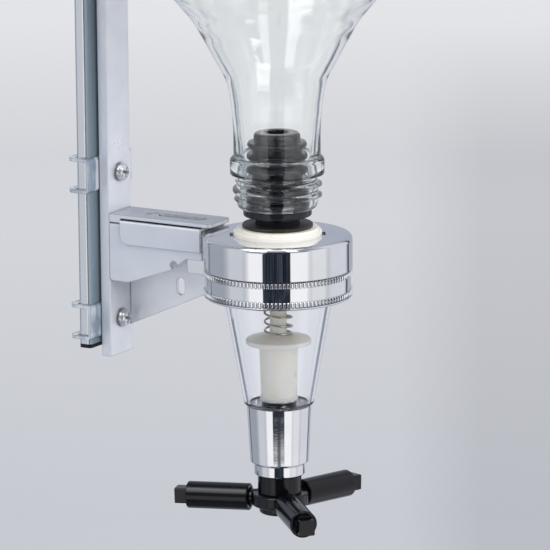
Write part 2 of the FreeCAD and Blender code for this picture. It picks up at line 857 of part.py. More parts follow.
def support_spring():
    return coil_spring("support_spring", support_spring_radius, support_wire_radius, support_turns,
                       boss_top + support_seat_gap, eye_foot - support_seat_gap, support_end_pitch)


# Bottle and stopper

def bottle_side(inset):
    """Edges of the bottle's side from the neck's foot to the heel, at a given depth into the wall."""
    angle = math.radians(flare_angle)
    turn = math.radians(shoulder_angle)
    neck = neck_radius - inset
    start = bead_top + neck_straight
    flare = flare_radius + inset
    centre = neck_radius + flare_radius

    def on_flare(way):
        return vector(centre - flare * math.cos(way), 0, start + flare * math.sin(way))

    ridge_radius = neck_radius + flare_radius * (1 - math.cos(angle))
    ridge_radius += (ridge_height - start - flare_radius * math.sin(angle)) * math.tan(angle)
    shoulder = (bottle_body_radius - ridge_radius) / (1 - math.cos(turn))
    middle_radius = bottle_body_radius - shoulder
    middle_height = ridge_height + shoulder * math.sin(turn)

    def on_shoulder(way):
        return vector(middle_radius + (shoulder - inset) * math.cos(way), 0,
                      middle_height - (shoulder - inset) * math.sin(way))

    base = bottle_base - inset
    heel = heel_radius - inset
    heel_centre = vector(bottle_body_radius - heel_radius, 0, bottle_base - heel_radius)
    side = bottle_body_radius - inset
    eighth = math.pi / 4
    dome = (punt_radius ** 2 + punt_depth ** 2) / (2 * punt_depth) + inset
    dome_centre = bottle_base - punt_depth - inset + dome
    dome_edge = math.acos((dome_centre - base) / dome)

    def on_dome(way):
        return vector(dome * math.sin(way), 0, dome_centre - dome * math.cos(way))

    points = [vector(neck, 0, bead_top), on_flare(0), on_flare(angle / 2), on_flare(angle),
              on_shoulder(turn), on_shoulder(turn / 2), on_shoulder(0),
              vector(side, 0, heel_centre.z),
              heel_centre + vector(heel * math.cos(eighth), 0, heel * math.sin(eighth)),
              vector(heel_centre.x, 0, base)]
    return [Part.LineSegment(points[0], points[1]).toShape(), Part.Arc(*points[1:4]).toShape(),
            Part.LineSegment(points[3], points[4]).toShape(), Part.Arc(*points[4:7]).toShape(),
            Part.LineSegment(points[6], points[7]).toShape(), Part.Arc(*points[7:10]).toShape(),
            Part.LineSegment(points[9], on_dome(dome_edge)).toShape(),
            Part.Arc(on_dome(dome_edge), on_dome(dome_edge / 2), on_dome(0)).toShape()]


def bottle_glass():
    outer = bottle_side(0.0)
    inner = bottle_side(bottle_wall)
    lip = bottle_lip_height
    bead_low = bead_top - bead_height
    finish = [(bottle_bore_radius, lip), (finish_radius, lip), (finish_radius, bead_low),
              (bead_radius, bead_low), (bead_radius, bead_top), (neck_radius, bead_top)]
    bore = [(neck_radius - bottle_wall, bead_top), (bottle_bore_radius, bead_top - bottle_wall),
            (bottle_bore_radius, lip)]

    def run(points):
        placed = [vector(radius, 0, height) for radius, height in points]
        return [Part.LineSegment(a, b).toShape() for a, b in zip(placed, placed[1:])]

    closing = Part.LineSegment(vector(0, 0, bottle_base - punt_depth),
                               vector(0, 0, bottle_base - bottle_wall - punt_depth)).toShape()
    wire = Part.Wire(Part.__sortEdges__(run(finish) + outer + [closing] + inner + run(bore)))
    return Part.Face(wire).revolve(vector(0, 0, 0), vector(0, 0, 1), 360)


def bottle_between(low, high):
    """The bottle's glass between two heights. Neck and body are kept apart, split at the ridge."""
    room = bottle_body_radius + 1.0
    return bottle_glass().common(box((-room, room), (-room, room), (low, high)))


def stopper():
    """The ribbed stopper: a bored core with ribs that grow to the bottle's bore, and a spigot."""
    flange_top_height = flange_foot + stopper_flange_height
    points = [(stopper_bore_radius, stopper_top), (stopper_top_radius, stopper_top, 0.8),
              (stopper_top_radius, stopper_top - stopper_top_length)]
    widest = bottle_bore_radius - rib_fit
    height = stopper_top - stopper_top_length
    for index in range(rib_count):
        share = index / max(rib_count - 1, 1)
        rib = rib_top_radius + (widest - rib_top_radius) * share
        points += [(rib, height, 0.3), (rib, height - rib_height, 0.3),
                   (stopper_core_radius, height - rib_height)]
        height -= rib_pitch
        if index < rib_count - 1:
            points.append((stopper_core_radius, height))
    points += [(stopper_core_radius, flange_top_height), (stopper_flange_radius, flange_top_height, 0.3),
               (stopper_flange_radius, flange_foot, 0.3), (spigot_radius, flange_foot),
               (spigot_radius, -spigot_depth), (spigot_bore_radius, -spigot_depth),
               (spigot_bore_radius, flange_foot), (stopper_bore_radius, flange_foot + 1.0)]
    return turned(points)


def spigot_washer():
    return turned([(spigot_radius + snug_gap, washer_foot), (washer_radius, washer_foot, 0.25),
                   (washer_radius, washer_foot + washer_height, 0.25),
                   (spigot_radius + snug_gap, washer_foot + washer_height)])


# Support above the bottle

def top_slide():
    """The tongue of the upper arm, with an eye on the axis for the support rod."""
    eye = rod_along_z(eye_radius, 0, 0, eye_foot, eye_top)
    body = eye.fuse(tongue(0, upper_arm_level))
    return body.cut(rod_along_z(rod_radius + snug_gap, 0, 0, eye_foot, eye_top)).removeSplitter()


def support_rod():
    low = cup_foot + cup_plate
    return rod_along_z(rod_radius, 0, 0, low, knob_foot + knob_height / 2)


def rod_knob():
    neck = rod_radius + snug_gap
    half = knob_height / 2
    return turned([(neck, knob_foot), (knob_foot_radius, knob_foot, 0.5),
                   (knob_radius, knob_foot + half, knob_waist_round),
                   (knob_top_radius, knob_foot + knob_height, knob_top_round),
                   (0, knob_foot + knob_height), (0, knob_foot + half), (neck, knob_foot + half)])


def base_cup():
    hole = rod_radius + snug_gap
    low = cup_foot - cup_rim_height
    plate_height = cup_foot + cup_plate
    recess = cup_radius - cup_rim_width
    return turned([(0, cup_foot), (recess, cup_foot), (recess, low), (cup_radius, low),
                   (cup_radius, plate_height, 1.5), (cup_boss_radius, plate_height),
                   (cup_boss_radius, boss_top, 0.8), (hole, boss_top), (hole, plate_height),
                   (0, plate_height)])


def base_pad():
    return rod_along_z(pad_radius, 0, 0, pad_foot, cup_foot)


pieces = {
    "rail": rail(),
    "rail_plug_lower": rail_plug(rail_foot, -1),
    "rail_plug_upper": rail_plug(rail_head, 1),
    "wall_spacer_lower": wall_spacer(lower_fixing_height),
    "wall_spacer_upper": wall_spacer(lower_fixing_height + fixing_spacing),
    "back_strap": back_strap(),
    "clip_screws": clip_screws(),
    "arm_channel": lower_channel(),
    "arm_top_plate": top_plate(0),
    "slide_cover": slide_cover(0),
    "guide_stud": guide_stud(0),
    "cap": cap(),
    "knurled_ring": knurled_ring(),
    "inlet_collar": inlet_collar(),
    "inlet_plate": inlet_plate(),
    "chamber_gasket": chamber_gasket(),
    "chamber": chamber(),
    "nozzle": nozzle(),
    "plunger": plunger(),
    "inlet_valve": inlet_valve(),
    "outlet_seal": outlet_seal(),
    "push_stem": push_stem(),
    "plunger_spring": plunger_spring(),
    "spout_tube": spout_tube(),
    "lever": lever(),
    "bottle": bottle_between(ridge_height, bottle_base + 1.0),
    "bottle_neck": bottle_between(0.0, ridge_height),
    "stopper": stopper(),
    "spigot_washer": spigot_washer(),
    "upper_arm_channel": upper_channel(),
    "upper_top_plate": top_plate(upper_arm_level),
    "upper_slide_cover": slide_cover(upper_arm_level),
    "upper_guide_stud": guide_stud(upper_arm_level),
    "top_slide": top_slide(),
    "support_rod": support_rod(),
    "rod_knob": rod_knob(),
    "support_spring": support_spring(),
    "base_cup": base_cup(),
    "base_pad": base_pad(),
}
for name, height in clip_heights.items():
    pieces[name] = clip(height)
for index in range(lever_arms):
    pieces["roller_sleeve_%d" % (index + 1)] = roller_sleeve(index)

os.makedirs("parts", exist_ok=True)
for name, shape in pieces.items():
    if not shape.isValid():
        print("not valid:", name)
    shape.translate(origin * -1)
    shape.exportStep("parts/%s.step" % name)
print(len(pieces), "pieces")
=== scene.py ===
import json
import math

import bmesh
import bpy
from mathutils import Matrix, Vector


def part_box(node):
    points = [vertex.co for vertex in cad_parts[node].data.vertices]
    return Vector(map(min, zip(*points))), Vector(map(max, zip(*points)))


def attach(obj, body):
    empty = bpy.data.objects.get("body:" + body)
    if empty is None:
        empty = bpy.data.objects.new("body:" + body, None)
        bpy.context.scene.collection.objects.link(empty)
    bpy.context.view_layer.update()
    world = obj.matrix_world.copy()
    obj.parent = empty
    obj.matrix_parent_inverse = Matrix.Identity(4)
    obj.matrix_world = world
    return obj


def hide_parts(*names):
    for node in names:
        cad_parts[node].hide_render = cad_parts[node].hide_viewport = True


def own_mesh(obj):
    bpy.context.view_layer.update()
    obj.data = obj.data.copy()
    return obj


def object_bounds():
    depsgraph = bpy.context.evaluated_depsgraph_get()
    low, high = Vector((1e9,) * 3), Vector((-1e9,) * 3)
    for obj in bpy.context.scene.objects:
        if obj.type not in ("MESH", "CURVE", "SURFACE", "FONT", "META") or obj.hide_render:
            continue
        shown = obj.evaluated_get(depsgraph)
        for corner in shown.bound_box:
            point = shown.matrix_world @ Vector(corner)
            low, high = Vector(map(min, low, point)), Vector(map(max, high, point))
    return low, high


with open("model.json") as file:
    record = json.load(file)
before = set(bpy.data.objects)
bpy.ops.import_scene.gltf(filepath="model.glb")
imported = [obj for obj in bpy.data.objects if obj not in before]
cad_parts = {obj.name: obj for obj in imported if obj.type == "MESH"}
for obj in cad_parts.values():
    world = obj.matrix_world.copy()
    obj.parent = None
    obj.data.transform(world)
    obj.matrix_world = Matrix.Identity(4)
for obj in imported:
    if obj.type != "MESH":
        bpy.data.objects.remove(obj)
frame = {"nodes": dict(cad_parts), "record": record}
cad_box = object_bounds()
nodes = frame["nodes"]
scene = bpy.context.scene
scene.view_settings.view_transform = "Standard"

# Places. AXIS is in metres, and pieces are drawn in millimetres about it, with height 0 at the cap's top
MM = 0.001
AXIS = Vector((0.0, -0.07565, -0.255))
SCREW_FACE = 57.5


def at(x, y, z):
    """A point of the frame from millimetres about the upright axis."""
    return AXIS + Vector((x, y, z)) * MM


# Camera
CAMERA_AZIMUTH = math.radians(-59.33)
CAMERA_PITCH = math.radians(12.29)
CAMERA_ROLL = -0.0081
CAMERA_DISTANCE = 1.386
CAMERA_RIGHT = -0.00094
CAMERA_UP = -0.01263
FOCAL_PIXELS = 4500.0
PHOTO_PIXELS = 550.0


def make_camera():
    """A long lens at the photograph's angle, with the small roll that its uprights show."""
    back = Vector((math.sin(CAMERA_AZIMUTH) * math.cos(CAMERA_PITCH),
                   -math.cos(CAMERA_AZIMUTH) * math.cos(CAMERA_PITCH), math.sin(CAMERA_PITCH)))
    right = Vector((math.cos(CAMERA_AZIMUTH), math.sin(CAMERA_AZIMUTH), 0.0))
    up = back.cross(right)
    if up.z < 0:
        up.negate()
    place = AXIS + right * CAMERA_RIGHT + up * CAMERA_UP + back * CAMERA_DISTANCE
    turned_right = right * math.cos(CAMERA_ROLL) + up * math.sin(CAMERA_ROLL)
    turned_up = up * math.cos(CAMERA_ROLL) - right * math.sin(CAMERA_ROLL)
    data = bpy.data.cameras.new("camera")
    data.sensor_width = 36.0
    data.lens = FOCAL_PIXELS * data.sensor_width / PHOTO_PIXELS
    data.clip_start = 0.01
    data.clip_end = 100.0
    camera = bpy.data.objects.new("camera", data)
    turn = Matrix((turned_right, turned_up, back)).transposed()
    camera.matrix_world = Matrix.Translation(place) @ turn.to_4x4()
    scene.collection.objects.link(camera)
    scene.camera = camera


make_camera()


# Node helpers

class Tree:
    """Short calls for a node tree: each returns the new node or its first output."""

    def __init__(self, tree):
        self.tree = tree

    def node(self, kind, **settings):
        made = self.tree.nodes.new(kind)
        for name, value in settings.items():
            setattr(made, name, value)
        return made

    def link(self, source, socket):
        self.tree.links.new(source, socket)

    def put(self, value, socket):
        """Links a socket, or sets a plain value."""
        if isinstance(value, bpy.types.NodeSocket):
            self.link(value, socket)
        else:
            socket.default_value = value

    def maths(self, operation, *values, clamp=False):
        made = self.node("ShaderNodeMath", operation=operation, use_clamp=clamp)
        for index, value in enumerate(values):
            self.put(value, made.inputs[index])
        return made.outputs[0]

    def mix(self, factor, first, second):
        made = self.node("ShaderNodeMix", data_type="RGBA")
        self.put(factor, made.inputs[0])
        self.put(first, made.inputs[6])
        self.put(second, made.inputs[7])
        return made.outputs[2]

    def ramp(self, value, low, high, from_low=0.0, from_high=1.0):
        made = self.node("ShaderNodeMapRange", clamp=True)
        for index, entry in enumerate((value, from_low, from_high, low, high)):
            self.put(entry, made.inputs[index])
        return made.outputs[0]

    def noise(self, place, scale, detail=3.0, roughness=0.55):
        made = self.node("ShaderNodeTexNoise")
        self.put(place, made.inputs["Vector"])
        made.inputs["Scale"].default_value = scale
        made.inputs["Detail"].default_value = detail
        made.inputs["Roughness"].default_value = roughness
        return made.outputs["Fac"]

    def stretched(self, place, scale):
        made = self.node("ShaderNodeMapping")
        self.put(place, made.inputs["Vector"])
        made.inputs["Scale"].default_value = scale
        return made.outputs[0]

    def eased(self, radius):
        """A normal that rounds the piece's edges by this radius, so that they catch the light."""
        made = self.node("ShaderNodeBevel", samples=4)
        made.inputs["Radius"].default_value = radius
        return made.outputs[0]

    def edge(self, radius):
        """1 along the piece's edges, where the eased normal leans away from the true one."""
        lean = self.node("ShaderNodeVectorMath", operation="DOT_PRODUCT")
        self.link(self.eased(radius), lean.inputs[0])
        self.link(self.node("ShaderNodeNewGeometry").outputs["Normal"], lean.inputs[1])
        return self.ramp(lean.outputs["Value"], 1.0, 0.0, 0.78, 0.97)

    def bump(self, height, strength, distance, normal=None):
        made = self.node("ShaderNodeBump")
        made.inputs["Strength"].default_value = strength
        made.inputs["Distance"].default_value = distance
        self.put(height, made.inputs["Height"])
        if normal is not None:
            self.put(normal, made.inputs["Normal"])
        return made.outputs[0]


def colour(red, green, blue):
    return (red, green, blue, 1.0)


def finish_material(name):
    """An empty material with its shader: (material, tree, shader, object coordinates)."""
    made = bpy.data.materials.new(name)
    made.use_nodes = True
    tree = Tree(made.node_tree)
    shader = made.node_tree.nodes["Principled BSDF"]
    place = tree.node("ShaderNodeTexCoord").outputs["Object"]
    return made, tree, shader, place


CUT_EDGE = (0.13, 0.15, 0.18)
# The next two tones are painted shade: one for hollows, one for the near side's faces towards -X
ZINC_PAINTED_SHADE = (0.20, 0.22, 0.26)
ZINC_SIDE_SHADE = (0.52, 0.57, 0.66)
METAL_SHARE = 0.45


def zinc_plate(name, base, shade, roughness, grain, spread=(0.38, 0.62), flat=0.6,
               painted_level_shade=(0.34, 0.38, 0.44), dull_top=False):
    """Bright zinc plating: soft clouds of tone, fine pits, rolling marks, darker cut edges, and painted shade
    in hollows.

    Level faces take the painted level shade by the share flat, and with dull_top they lose their shine too;
    faces towards -X on the near side take a painted side shade.
    """
    made, tree, shader, place = finish_material(name)
    clouds = tree.noise(place, 110.0, 4.0)
    fine = tree.noise(place, 1100.0, 2.0)
    rolled = tree.noise(tree.stretched(place, grain), 90.0, 4.0)
    tone = tree.maths("MULTIPLY_ADD", clouds, 0.5, tree.maths("MULTIPLY", rolled, 0.5))
    face = tree.mix(tree.ramp(tone, 0.0, 1.0, *spread), colour(*shade), colour(*base))
    edge = tree.maths("MULTIPLY", tree.edge(0.00045), 0.8)
    # Painted shade: the face darkens where ambient occlusion finds other geometry close by
    crevice = tree.node("ShaderNodeAmbientOcclusion", samples=6)
    crevice.inputs["Distance"].default_value = 0.0012
    open_air = tree.ramp(crevice.outputs["AO"], 0.0, 1.0, 0.25, 0.75)
    face = tree.mix(open_air, colour(*ZINC_PAINTED_SHADE), face)
    lean = tree.node("ShaderNodeSeparateXYZ")
    tree.link(tree.node("ShaderNodeNewGeometry").outputs["True Normal"], lean.inputs[0])
    # Painted shade: level faces take a darker tone, as upward faces show less light
    level = tree.ramp(lean.outputs["Z"], 0.0, flat, 0.7, 0.95)
    face = tree.mix(level, face, colour(*painted_level_shade))
    # Painted shade: faces towards -X on the near side take a bluer, darker side tone, for how that side is
    # lit
    where = tree.node("ShaderNodeSeparateXYZ")
    tree.link(place, where.inputs[0])
    side = tree.maths("MULTIPLY", tree.ramp(lean.outputs["X"], 0.55, 0.0, -0.95, -0.7),
                      tree.ramp(where.outputs["X"], 1.0, 0.0, -0.008, 0.0))
    face = tree.mix(side, face, colour(*ZINC_SIDE_SHADE))
    tree.link(tree.mix(edge, face, colour(*CUT_EDGE)), shader.inputs["Base Color"])
    tree.link(tree.ramp(tone, roughness * 1.35, roughness * 0.75, 0.35, 0.65), shader.inputs["Roughness"])
    wave = tree.bump(clouds, 0.35, 0.0004, tree.eased(0.00025))
    tree.link(tree.bump(fine, 0.30, 0.00003, wave), shader.inputs["Normal"])
    shader.inputs["Metallic"].default_value = METAL_SHARE
    if dull_top:
        tree.link(tree.ramp(level, 0.5, 0.0), shader.inputs["Specular IOR Level"])
        tree.link(tree.ramp(level, METAL_SHARE, 0.0), shader.inputs["Metallic"])
    return made


def drawn_aluminium(name, base, front, roughness):
    """Extruded aluminium: draw lines that run up the rail, and a painted shade on its front face, which lies
    behind the strap.
    """
    made, tree, shader, place = finish_material(name)
    lines = tree.noise(tree.stretched(place, (1.0, 1.0, 0.01)), 1400.0, 3.0)
    clouds = tree.noise(place, 40.0)
    dark = colour(*(value * 0.93 for value in base))
    tone = tree.mix(tree.ramp(clouds, 0.0, 1.0, 0.35, 0.65), dark, colour(*base))
    parts = tree.node("ShaderNodeSeparateXYZ")
    tree.link(place, parts.inputs[0])
    # Painted shade: the rail's front face takes the darker front tone and less shine
    shaded_front = tree.ramp(parts.outputs["Y"], 1.0, 0.0, RAIL_FRONT + 0.0004, RAIL_FRONT + 0.0008)
    tree.link(tree.mix(shaded_front, tone, colour(*front)), shader.inputs["Base Color"])
    tree.link(tree.ramp(shaded_front, 1.0, 0.25), shader.inputs["Metallic"])
    tree.link(tree.ramp(lines, roughness * 0.8, roughness * 1.3, 0.3, 0.7), shader.inputs["Roughness"])
    tree.link(tree.bump(lines, 0.15, 0.00002, tree.eased(0.0002)), shader.inputs["Normal"])
    return made


def polished_metal(name, base, roughness, rim=0.00025, seat=None, dark_edge_reflection=0.0, metal=1.0):
    """Plated and polished: faint buffing marks, a thin haze, painted shade in hollows and low on a head by
    its seat, and painted dark reflections along the edges.
    """
    made, tree, shader, place = finish_material(name)
    haze = tree.noise(place, 55.0, 4.0)
    marks = tree.noise(tree.stretched(place, (1.0, 1.0, 6.0)), 500.0, 2.0)
    dark = colour(*(value * 0.95 for value in base))
    tone = tree.mix(tree.ramp(haze, 0.0, 1.0, 0.4, 0.6), dark, colour(*base))
    if seat is not None:
        parts = tree.node("ShaderNodeSeparateXYZ")
        tree.link(place, parts.inputs[0])
        # Painted shade: the head darkens towards its seat and in the bottom of its recess
        seat_shade = tree.ramp(parts.outputs["Y"], 0.0, 1.0, seat - 0.0014, seat - 0.0004)
        tone = tree.mix(seat_shade, tone, colour(0.16, 0.17, 0.19))
    # Painted shade: a darker tone where ambient occlusion finds other geometry close by
    crevice = tree.node("ShaderNodeAmbientOcclusion", samples=6)
    crevice.inputs["Distance"].default_value = 0.0006
    open_air = tree.ramp(crevice.outputs["AO"], 0.0, 1.0, 0.35, 0.9)
    tone = tree.mix(open_air, colour(0.28, 0.29, 0.32), tone)
    if dark_edge_reflection:
        # Painted reflection: dark lines along the edges, as a dark part of the studio would show in them
        tone = tree.mix(tree.maths("MULTIPLY", tree.edge(0.0005), dark_edge_reflection), tone, colour(0.05, 0.055, 0.065))
    tree.link(tone, shader.inputs["Base Color"])
    tree.link(tree.ramp(haze, roughness * 0.7, roughness * 1.6, 0.35, 0.7), shader.inputs["Roughness"])
    tree.link(tree.bump(marks, 0.04, 0.00002, tree.eased(rim)), shader.inputs["Normal"])
    shader.inputs["Metallic"].default_value = metal
    return made


def moulded_plastic(name, base, shade, roughness, peel, glow=0.0, sheen=0.5, groove=None):
    """Injection-moulded plastic: faint flow clouds, a fine orange-peel skin, and painted shade in the
    grooves.
    """
    made, tree, shader, place = finish_material(name)
    flow = tree.noise(place, 70.0, 3.0)
    skin = tree.noise(place, 1600.0, 2.0)
    tone = tree.mix(tree.ramp(flow, 0.0, 1.0, 0.35, 0.65), colour(*shade), colour(*base))
    if groove:
        # Painted shade: grooves darken almost to black where ambient occlusion finds other geometry close by
        crevice = tree.node("ShaderNodeAmbientOcclusion", samples=8, only_local=True)
        crevice.inputs["Distance"].default_value = groove
        open_air = tree.ramp(crevice.outputs["AO"], 0.0, 1.0, 0.55, 0.95)
        tone = tree.mix(open_air, colour(0.001, 0.001, 0.001), tone)
    tree.link(tone, shader.inputs["Base Color"])
    tree.link(tree.ramp(flow, roughness * 0.85, roughness * 1.2, 0.3, 0.7), shader.inputs["Roughness"])
    tree.link(tree.bump(skin, peel, 0.00003, tree.eased(0.0003)), shader.inputs["Normal"])
    shader.inputs["Specular IOR Level"].default_value = sheen
    if glow:
        shader.inputs["Subsurface Weight"].default_value = glow
        shader.inputs["Subsurface Radius"].default_value = (0.003, 0.0022, 0.0014)
        shader.inputs["Subsurface Scale"].default_value = 1.0
    return made


def clear_material(name, base, index, roughness, ripple, tint, depth):
    """Clear glass or plastic with the faint ripple of its mould, and a tint that grows with its thickness."""
    made, tree, shader, place = finish_material(name)
    waves = tree.noise(tree.stretched(place, (1.0, 1.0, 0.35)), 60.0, 1.0)
    smear = tree.noise(place, 130.0, 2.0)
    tree.link(tree.bump(waves, ripple, 0.0003), shader.inputs["Normal"])
    tree.link(tree.ramp(smear, roughness * 0.5, roughness * 1.5, 0.35, 0.65), shader.inputs["Roughness"])
    shader.inputs["Base Color"].default_value = colour(*base)
    shader.inputs["Transmission Weight"].default_value = 1.0
    shader.inputs["IOR"].default_value = index
    inside = tree.node("ShaderNodeVolumeAbsorption")
    inside.inputs["Color"].default_value = colour(*tint)
    inside.inputs["Density"].default_value = depth
    tree.link(inside.outputs[0], made.node_tree.nodes["Material Output"].inputs["Volume"])
    return made


RAIL_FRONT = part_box("rail")[0].y
SCREW_SEAT = AXIS.y + SCREW_FACE * MM
CHROME = (0.82, 0.83, 0.85)

finishes = {
    "rail_aluminium": drawn_aluminium("rail_aluminium", (0.74, 0.76, 0.79), (0.27, 0.34, 0.40), 0.18),
    "zinc_steel": zinc_plate("zinc_steel", (0.90, 0.92, 0.96), (0.82, 0.85, 0.90), 0.32, (1.0, 0.2, 0.2)),
    # Painted shadow: the slide cover's level faces are nearly black and lose their shine, as they lie under
    # the top plate
    "cover_zinc": zinc_plate("cover_zinc", (0.90, 0.92, 0.96), (0.82, 0.85, 0.90), 0.32, (1.0, 0.2, 0.2),
                             flat=1.0, painted_level_shade=(0.035, 0.04, 0.05), dull_top=True),
    # The clips' dark blue-grey streaks are partly the plating's mottle and partly a painted reflection of the
    # dark gap behind the strap
    "clip_zinc": zinc_plate("clip_zinc", (0.92, 0.95, 0.98), (0.36, 0.44, 0.52), 0.14, (5.0, 5.0, 0.2),
                            spread=(0.45, 0.58), flat=0.0),
    "fastener_steel": polished_metal("fastener_steel", (0.80, 0.81, 0.84), 0.16, 0.00010, SCREW_SEAT,
                                     metal=0.65),
    "polished_chrome": polished_metal("polished_chrome", CHROME, 0.03, dark_edge_reflection=0.85),
    "ring_chrome": polished_metal("ring_chrome", CHROME, 0.03, 0.00003),
    "bright_steel": polished_metal("bright_steel", (0.70, 0.70, 0.70), 0.16),
    "spring_steel": polished_metal("spring_steel", (0.60, 0.57, 0.52), 0.16),
    "ivory_plastic": moulded_plastic("ivory_plastic", (0.97, 0.95, 0.89), (0.94, 0.91, 0.84), 0.30, 0.10),
    # Painted light: the plunger's copy of the ivory is lighter, against the shade inside the clear chamber
    "lit_plunger_ivory": moulded_plastic("lit_plunger_ivory", (1.0, 0.965, 0.88), (0.98, 0.94, 0.84), 0.30, 0.10,
                                     glow=0.6),
    "clear_plastic": clear_material("clear_plastic", (0.985, 0.99, 1.0), 1.44, 0.01, 0.03,
                                    (0.55, 0.64, 0.84), 34.0),
    "bottle_glass": clear_material("bottle_glass", (0.995, 1.0, 0.997), 1.52, 0.004, 0.08,
                                   (0.66, 0.86, 0.78), 12.0),
    "black_plastic": moulded_plastic("black_plastic", (0.004, 0.004, 0.006), (0.003, 0.003, 0.004), 0.12,
                                     0.08, sheen=0.34),
    "black_rubber": moulded_plastic("black_rubber", (0.016, 0.017, 0.023), (0.012, 0.013, 0.018), 0.13, 0.06,
                                    sheen=0.34, groove=0.0015),
    "brown_rubber": moulded_plastic("brown_rubber", (0.032, 0.024, 0.019), (0.022, 0.017, 0.013), 0.45, 0.20),
}
finish_of = {row["node"]: row["material_slot"] for row in frame["record"]["subparts"]}
finish_of.update({"clip_lower": "clip_zinc", "clip_middle": "clip_zinc", "clip_top": "clip_zinc",
                  "slide_cover": "cover_zinc", "upper_slide_cover": "cover_zinc",
                  "plunger": "lit_plunger_ivory"})
for name, piece in nodes.items():
    piece.data.materials.clear()
    piece.data.materials.append(finishes[finish_of[name]])


# Mesh helpers

def rounded(points, steps=6):
    """A closed outline from (u, v) or (u, v, corner radius) points, with its corners as short arcs."""
    line = []
    count = len(points)
    for index, point in enumerate(points):
        radius = point[2] if len(point) > 2 else 0.0
        here = Vector(point[:2])
        if radius <= 0.0:
            line.append((here.x, here.y))
            continue
        into = Vector(points[index - 1][:2]) - here
        out = Vector(points[(index + 1) % count][:2]) - here
        into.normalize()
        out.normalize()
        half = into.angle(out) / 2
        back = radius / math.tan(half)
        centre = here + (into + out).normalized() * (radius / math.sin(half))
        first = here + into * back - centre
        turn = first.angle_signed(here + out * back - centre)
        for step in range(steps + 1):
            spoke = first.copy()
            spoke.rotate(Matrix.Rotation(-turn * step / steps, 2))
            line.append((centre.x + spoke.x, centre.y + spoke.y))
    return line


def solid_of(name, shape, crease=35.0):
    """An object from a bmesh in millimetres about the axis, placed in the frame."""
    bmesh.ops.recalc_face_normals(shape, faces=shape.faces)
    mesh = bpy.data.meshes.new(name)
    shape.to_mesh(mesh)
    shape.free()
    mesh.transform(Matrix.Translation(AXIS) @ Matrix.Scale(MM, 4))
    mesh.shade_smooth()
    mesh.set_sharp_from_angle(angle=math.radians(crease))
    made = bpy.data.objects.new(name, mesh)
    scene.collection.objects.link(made)
    return made


def lathe(name, profile, segments=144, crease=35.0):
    """A closed body turned about the upright axis from (radius, height) points."""
    shape = bmesh.new()
    rings = []
    for radius, height in profile:
        if radius < 1e-4:
            rings.append([shape.verts.new((0, 0, height))])
            continue
        turns = [2 * math.pi * index / segments for index in range(segments)]
        rings.append([shape.verts.new((radius * math.cos(turn), radius * math.sin(turn), height))
                      for turn in turns])
    for first, second in zip(rings, rings[1:] + rings[:1]):
        if len(first) == 1 and len(second) == 1:
            continue
        for index in range(segments):
            after = (index + 1) % segments
            if len(first) == 1:
                shape.faces.new((first[0], second[index], second[after]))
            elif len(second) == 1:
                shape.faces.new((first[index], first[after], second[0]))
            else:
                shape.faces.new((first[index], first[after], second[after], second[index]))
    return solid_of(name, shape, crease)


def finished(piece, slot_name, body, *replaced):
    """Gives a finished piece its material, body and the CAD nodes that it stands for."""
    piece.data.materials.clear()
    piece.data.materials.append(finishes[slot_name])
    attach(piece, body)
    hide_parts(*replaced)
    return piece


# Geometry trees

class Growth(Tree):
    """A geometry tree with named inputs, which ends in Realize Instances and Set Material."""

    def __init__(self, name, sizes):
        super().__init__(bpy.data.node_groups.new(name, "GeometryNodeTree"))
        face = self.tree.interface
        face.new_socket("Geometry", in_out="INPUT", socket_type="NodeSocketGeometry")
        for label, kind in sizes:
            face.new_socket(label, in_out="INPUT", socket_type="NodeSocket" + kind)
        face.new_socket("Material", in_out="INPUT", socket_type="NodeSocketMaterial")
        face.new_socket("Geometry", in_out="OUTPUT", socket_type="NodeSocketGeometry")
        self.start = self.node("NodeGroupInput")
        self.size = self.start.outputs

    def vector(self, x, y, z):
        made = self.node("ShaderNodeCombineXYZ")
        for index, value in enumerate((x, y, z)):
            self.put(value, made.inputs[index])
        return made.outputs[0]

    def index(self):
        return self.node("GeometryNodeInputIndex").outputs[0]

    def moved(self, geometry, place):
        made = self.node("GeometryNodeSetPosition")
        self.link(geometry, made.inputs["Geometry"])
        self.link(place, made.inputs["Position"])
        return made.outputs[0]

    def points(self, count, place):
        made = self.node("GeometryNodePoints")
        self.put(count, made.inputs["Count"])
        self.link(place, made.inputs["Position"])
        return made.outputs[0]

    def copies(self, points, piece, turn=None, scale=None):
        source = self.node("GeometryNodeObjectInfo", transform_space="ORIGINAL")
        self.link(piece, source.inputs["Object"])
        made = self.node("GeometryNodeInstanceOnPoints")
        self.link(points, made.inputs["Points"])
        self.link(source.outputs["Geometry"], made.inputs["Instance"])
        if turn is not None:
            angle = self.node("FunctionNodeEulerToRotation")
            self.link(self.vector(0.0, 0.0, turn), angle.inputs[0])
            self.link(angle.outputs[0], made.inputs["Rotation"])
        if scale is not None:
            self.link(scale, made.inputs["Scale"])
        return made.outputs[0]

    def joined(self, *parts):
        made = self.node("GeometryNodeJoinGeometry")
        for part in parts:
            self.link(part, made.inputs[0])
        return made.outputs[0]

    def close(self, geometry):
        real = self.node("GeometryNodeRealizeInstances")
        self.link(geometry, real.inputs[0])
        paint = self.node("GeometryNodeSetMaterial")
        self.link(real.outputs[0], paint.inputs["Geometry"])
        self.link(self.size["Material"], paint.inputs["Material"])
        end = self.node("NodeGroupOutput")
        self.link(paint.outputs[0], end.inputs[0])
        return self.tree


